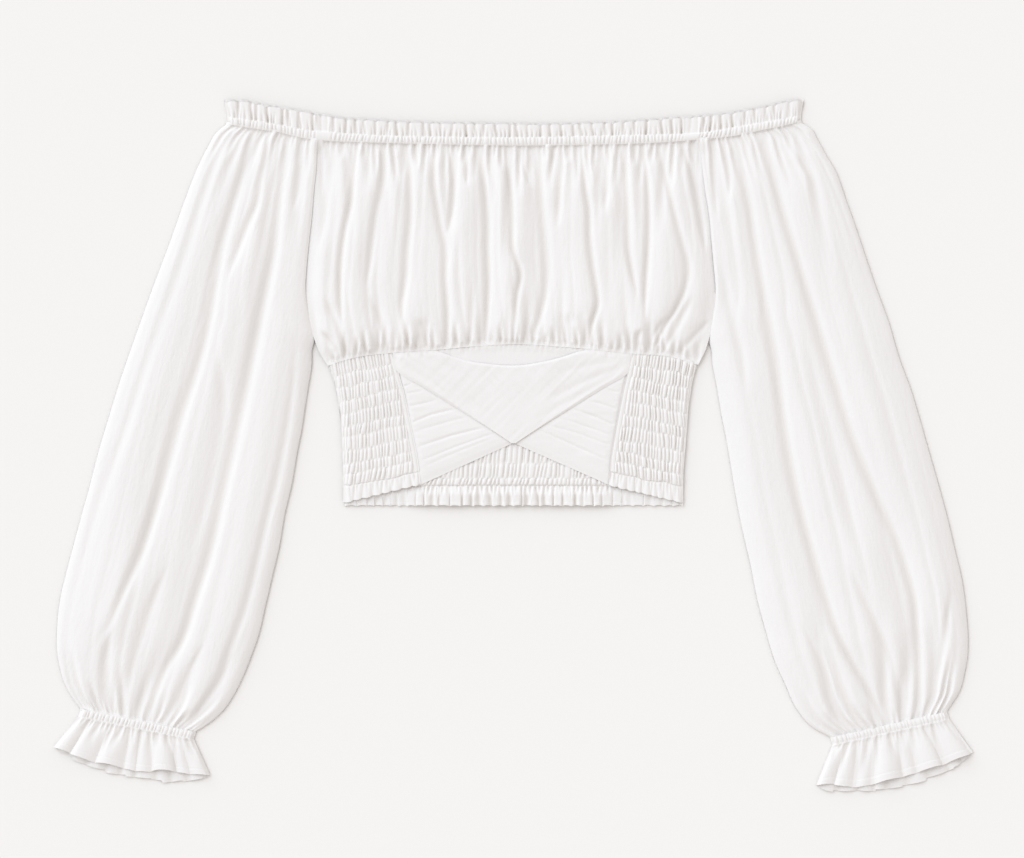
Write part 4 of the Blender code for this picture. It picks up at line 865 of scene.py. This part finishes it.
class TOP_OT_lower_band(bpy.types.Operator):
    """Shirred panels, pleated wraps, overlay and underlay below the bust"""

    bl_idname = "top.lower_band"
    bl_label = "Lower band"

    def execute(self, context):
        sizes = look(context)
        shirred = voile("woven_white_voile_shirred", sizes.cloth_colour, 0.5)
        smooth = voile("woven_white_voile_panels", sizes.cloth_colour, 0.5, 2.0, 0.5)
        make_side_panel("side_panel_left", "left", SIDE_LEFT, sizes, shirred, 111)
        make_side_panel("side_panel_right", "right", SIDE_RIGHT, sizes, shirred, 117)
        make_wrap_panel("wrap_panel_left", "left", WRAP_LEFT, LEFT_PLEATS, sizes, smooth, 121)
        make_wrap_panel("wrap_panel_right", "right", WRAP_RIGHT, RIGHT_PLEATS, sizes, smooth, 127)

        across, down = np.linspace(0, 1, 220), np.linspace(0, 1, 90)
        held = [(x0 - 2.6, y0, x1 + 2.6, y1) for x0, y0, x1, y1 in OVERLAY[:2]]
        x, y = section_grid([*held, *OVERLAY[2:]], across, down)
        top = line_at(across, OVERLAY_TOP)
        fade = (1 - down[:, None]) ** 2
        x, y = x + (top[:, 0] - x[0]) * fade, y + (top[:, 1] - y[0]) * fade
        share = across[None, :]
        seamed = np.maximum(1 - ease(share, 0.16, 0.2), ease(share, 0.79, 0.83))
        y = y - 2.2 * seamed * (1 - down[:, None]) ** 10
        relief = 0.7 * sum(crease(x, y, *row) for row in OVERLAY_CREASES) + 0.3 * lattice(x, y, 26, 18, 131)
        relief += 0.14 * lattice(x + y, x - y, 5, 42, 134) + 0.14 * lattice(x - y, x + y, 5, 42, 135)
        relief += gathers(x, y - underbust(x), 5.0, 0.9, 9, 133) * seamed
        ends = ease(np.minimum(share, 1 - share), 0, 0.035)
        height = 3.6 + (OVERLAY_LEVEL - 3.6 + relief) * ends
        height = 4.0 + (height - 4.0) * np.maximum(1 - seamed, ease(y - underbust(x), -1, 5))
        height = height - 0.9 * (1 - seamed) * (1 - ease(down[:, None], 0, 0.03))
        piece = cloth("overlay_cloth", lift(x, y, height), smooth, ["centre_overlay"])

        table = np.asarray(UNDERLAY, float)
        shares, columns = np.linspace(-0.08, 1, 34)[:, None], np.linspace(0, 1, 130)
        stations = np.linspace(0, 1, len(table))
        ends = [spline(columns, stations, table[:, k]) for k in range(4)]
        x, y = ends[0] + (ends[2] - ends[0]) * shares, ends[1] + (ends[3] - ends[1]) * shares
        height = BAND_LEVEL + 0.4 + 0.6 * (1 - ease(y - underbust(x), 0, 8)) + 0.2 * lattice(x, y, 18, 12, 138)
        height = height + gathers(x, y - underbust(x), 5.0, 0.6, 9, 137)
        piece = cloth("underlay_cloth", lift(x, y, height), smooth, ["centre_underlay"])

        across = np.linspace(0, 1, 500)
        down = np.concatenate([np.linspace(0, 0.5, 25)[:-1], np.linspace(0.5, 1, 84)])
        x, y = section_grid(BACK_BAND, across, down)
        fade = (1 - down[:, None]) ** 2
        y = y + (underbust(x[0]) + 0.3 - y[0]) * fade
        level = np.interp(y, BACK_SHIRRING, range(len(BACK_SHIRRING)))
        last = len(BACK_SHIRRING) - 2
        puffs = smocking(x, level, 4.4, 141, last)
        rise, shift = fluted(x[-1:], flute_rows(345, 683, 10.5, 2.2, 143), 0.9)
        ruffle = ease(level, last, last + 0.8)
        pleats = gather_line(x, 4.4, 141 + 7 * (last - 1), 0.3)
        height = BACK_LEVEL + 0.5 + 1.7 * puffs + 2.2 * ease(level, last, last + 0.5)
        tongues = gather_line(x + 1.5 * lattice(x, y, 14, 20, 144), 9.5, 145, 0.17)
        darts = 1 - gather_line(x, 4.8, 146, 0.22)
        height = height + (level >= last) * (2.6 * (tongues - 0.6) * ruffle - 1.4 * darts * ease(last + 0.5 - level, 0, 0.4)
                                             + 1.5 * pleats * (1 - ruffle) * ease(level - last, 0, 0.15))
        covered = ease(np.abs(x - 512), 84, 108)
        height = np.maximum(height * (1 - (0.2 + 0.38 * ease(level, last - 0.3, last + 0.3)) * covered), BACK_LEVEL)
        folded = ease(level, last + 0.85, last + 0.88)
        y = y + (0.8 - 0.8 * np.minimum(rise, 1.6)) * ease(level, last + 0.2, last + 1)
        x = x + shift * ruffle
        piece = cloth("back_band_cloth", lift(x, y, height + 0.15 * folded)[:, ::-1], shirred, ["back_shirred_panel"])
        return {"FINISHED"}


class TOP_OT_stage(bpy.types.Operator):
    """Pale surface, soft light from the upper left and the camera straight above"""

    bl_idname = "top.stage"
    bl_label = "Stage"

    def execute(self, context):
        sizes = look(context)
        scene = context.scene
        mesh = bpy.data.meshes.new("stage_floor")
        reach = 4.0
        mesh.from_pydata([(-reach, -reach, 0), (reach, -reach, 0), (reach, reach, 0), (-reach, reach, 0)], [],
                         [(0, 1, 2, 3)])
        floor = bpy.data.objects.new("stage_floor", mesh)
        scene.collection.objects.link(floor)
        # Matt painted board: an even, faintly warm white with no gloss.
        paint = bpy.data.materials.new("matt_painted_board")
        paint.use_nodes = True
        shader = paint.node_tree.nodes["Principled BSDF"]
        shader.inputs["Base Color"].default_value = srgb(sizes.floor_colour)
        shader.inputs["Roughness"].default_value = 0.9
        shader.inputs["Specular IOR Level"].default_value = 0.1
        mesh.materials.append(paint)

        world = bpy.data.worlds.new("soft_white_room")
        scene.world = world
        world.use_nodes = True
        back = world.node_tree.nodes["Background"]
        back.inputs["Color"].default_value = (1.02, 0.993, 0.98, 1.0)
        back.inputs["Strength"].default_value = 0.80
        # A window to the upper left and a wide soft box overhead.
        for label, energy, angle, turn in (("window_light", 1.78, 58, (-36, -48)), ("softbox", 0.187, 100, (-6, -6))):
            sun = bpy.data.lights.new(label, "SUN")
            sun.energy, sun.angle, sun.color = energy, np.radians(angle), (0.817, 0.933, 1.045)
            lamp = bpy.data.objects.new(label, sun)
            lamp.rotation_euler = (np.radians(turn[0]), np.radians(turn[1]), 0)
            scene.collection.objects.link(lamp)

        camera = bpy.data.cameras.new("camera")
        camera.lens, camera.sensor_width = 100.0, 36.0
        camera.clip_start, camera.clip_end = 0.1, 20.0
        eye = bpy.data.objects.new("camera", camera)
        x, y = plan(*PICTURE_MIDDLE)
        eye.location = (x, y, PICTURE_WIDTH * PLAN_STEP * camera.lens / camera.sensor_width)
        scene.collection.objects.link(eye)
        scene.camera = eye
        scene.view_settings.view_transform = "Standard"
        scene.view_settings.look = "None"
        return {"FINISHED"}


OPERATORS = (TOP_OT_bodice, TOP_OT_sleeves, TOP_OT_neck, TOP_OT_cuffs, TOP_OT_lower_band, TOP_OT_stage)


class TOP_PT_sidebar(bpy.types.Panel):
    """Builds the top piece by piece"""

    bl_idname = "TOP_PT_sidebar"
    bl_label = "Off-shoulder top"
    bl_space_type = "VIEW_3D"
    bl_region_type = "UI"
    bl_category = "Top"

    def draw(self, context):
        for name in TopLook.__annotations__:
            self.layout.prop(look(context), name)
        for operator in OPERATORS:
            self.layout.operator(operator.bl_idname)


CLASSES = (TopLook, *OPERATORS, TOP_PT_sidebar)


def register():
    for cls in CLASSES:
        bpy.utils.register_class(cls)
    bpy.types.Scene.top_look = bpy.props.PointerProperty(type=TopLook)


def unregister():
    del bpy.types.Scene.top_look
    for cls in reversed(CLASSES):
        bpy.utils.unregister_class(cls)


def main():
    register()
    bpy.ops.top.stage()
    bpy.ops.top.bodice()
    bpy.ops.top.sleeves()
    bpy.ops.top.neck()
    bpy.ops.top.cuffs()
    bpy.ops.top.lower_band()


if __name__ == "__main__":
    main()
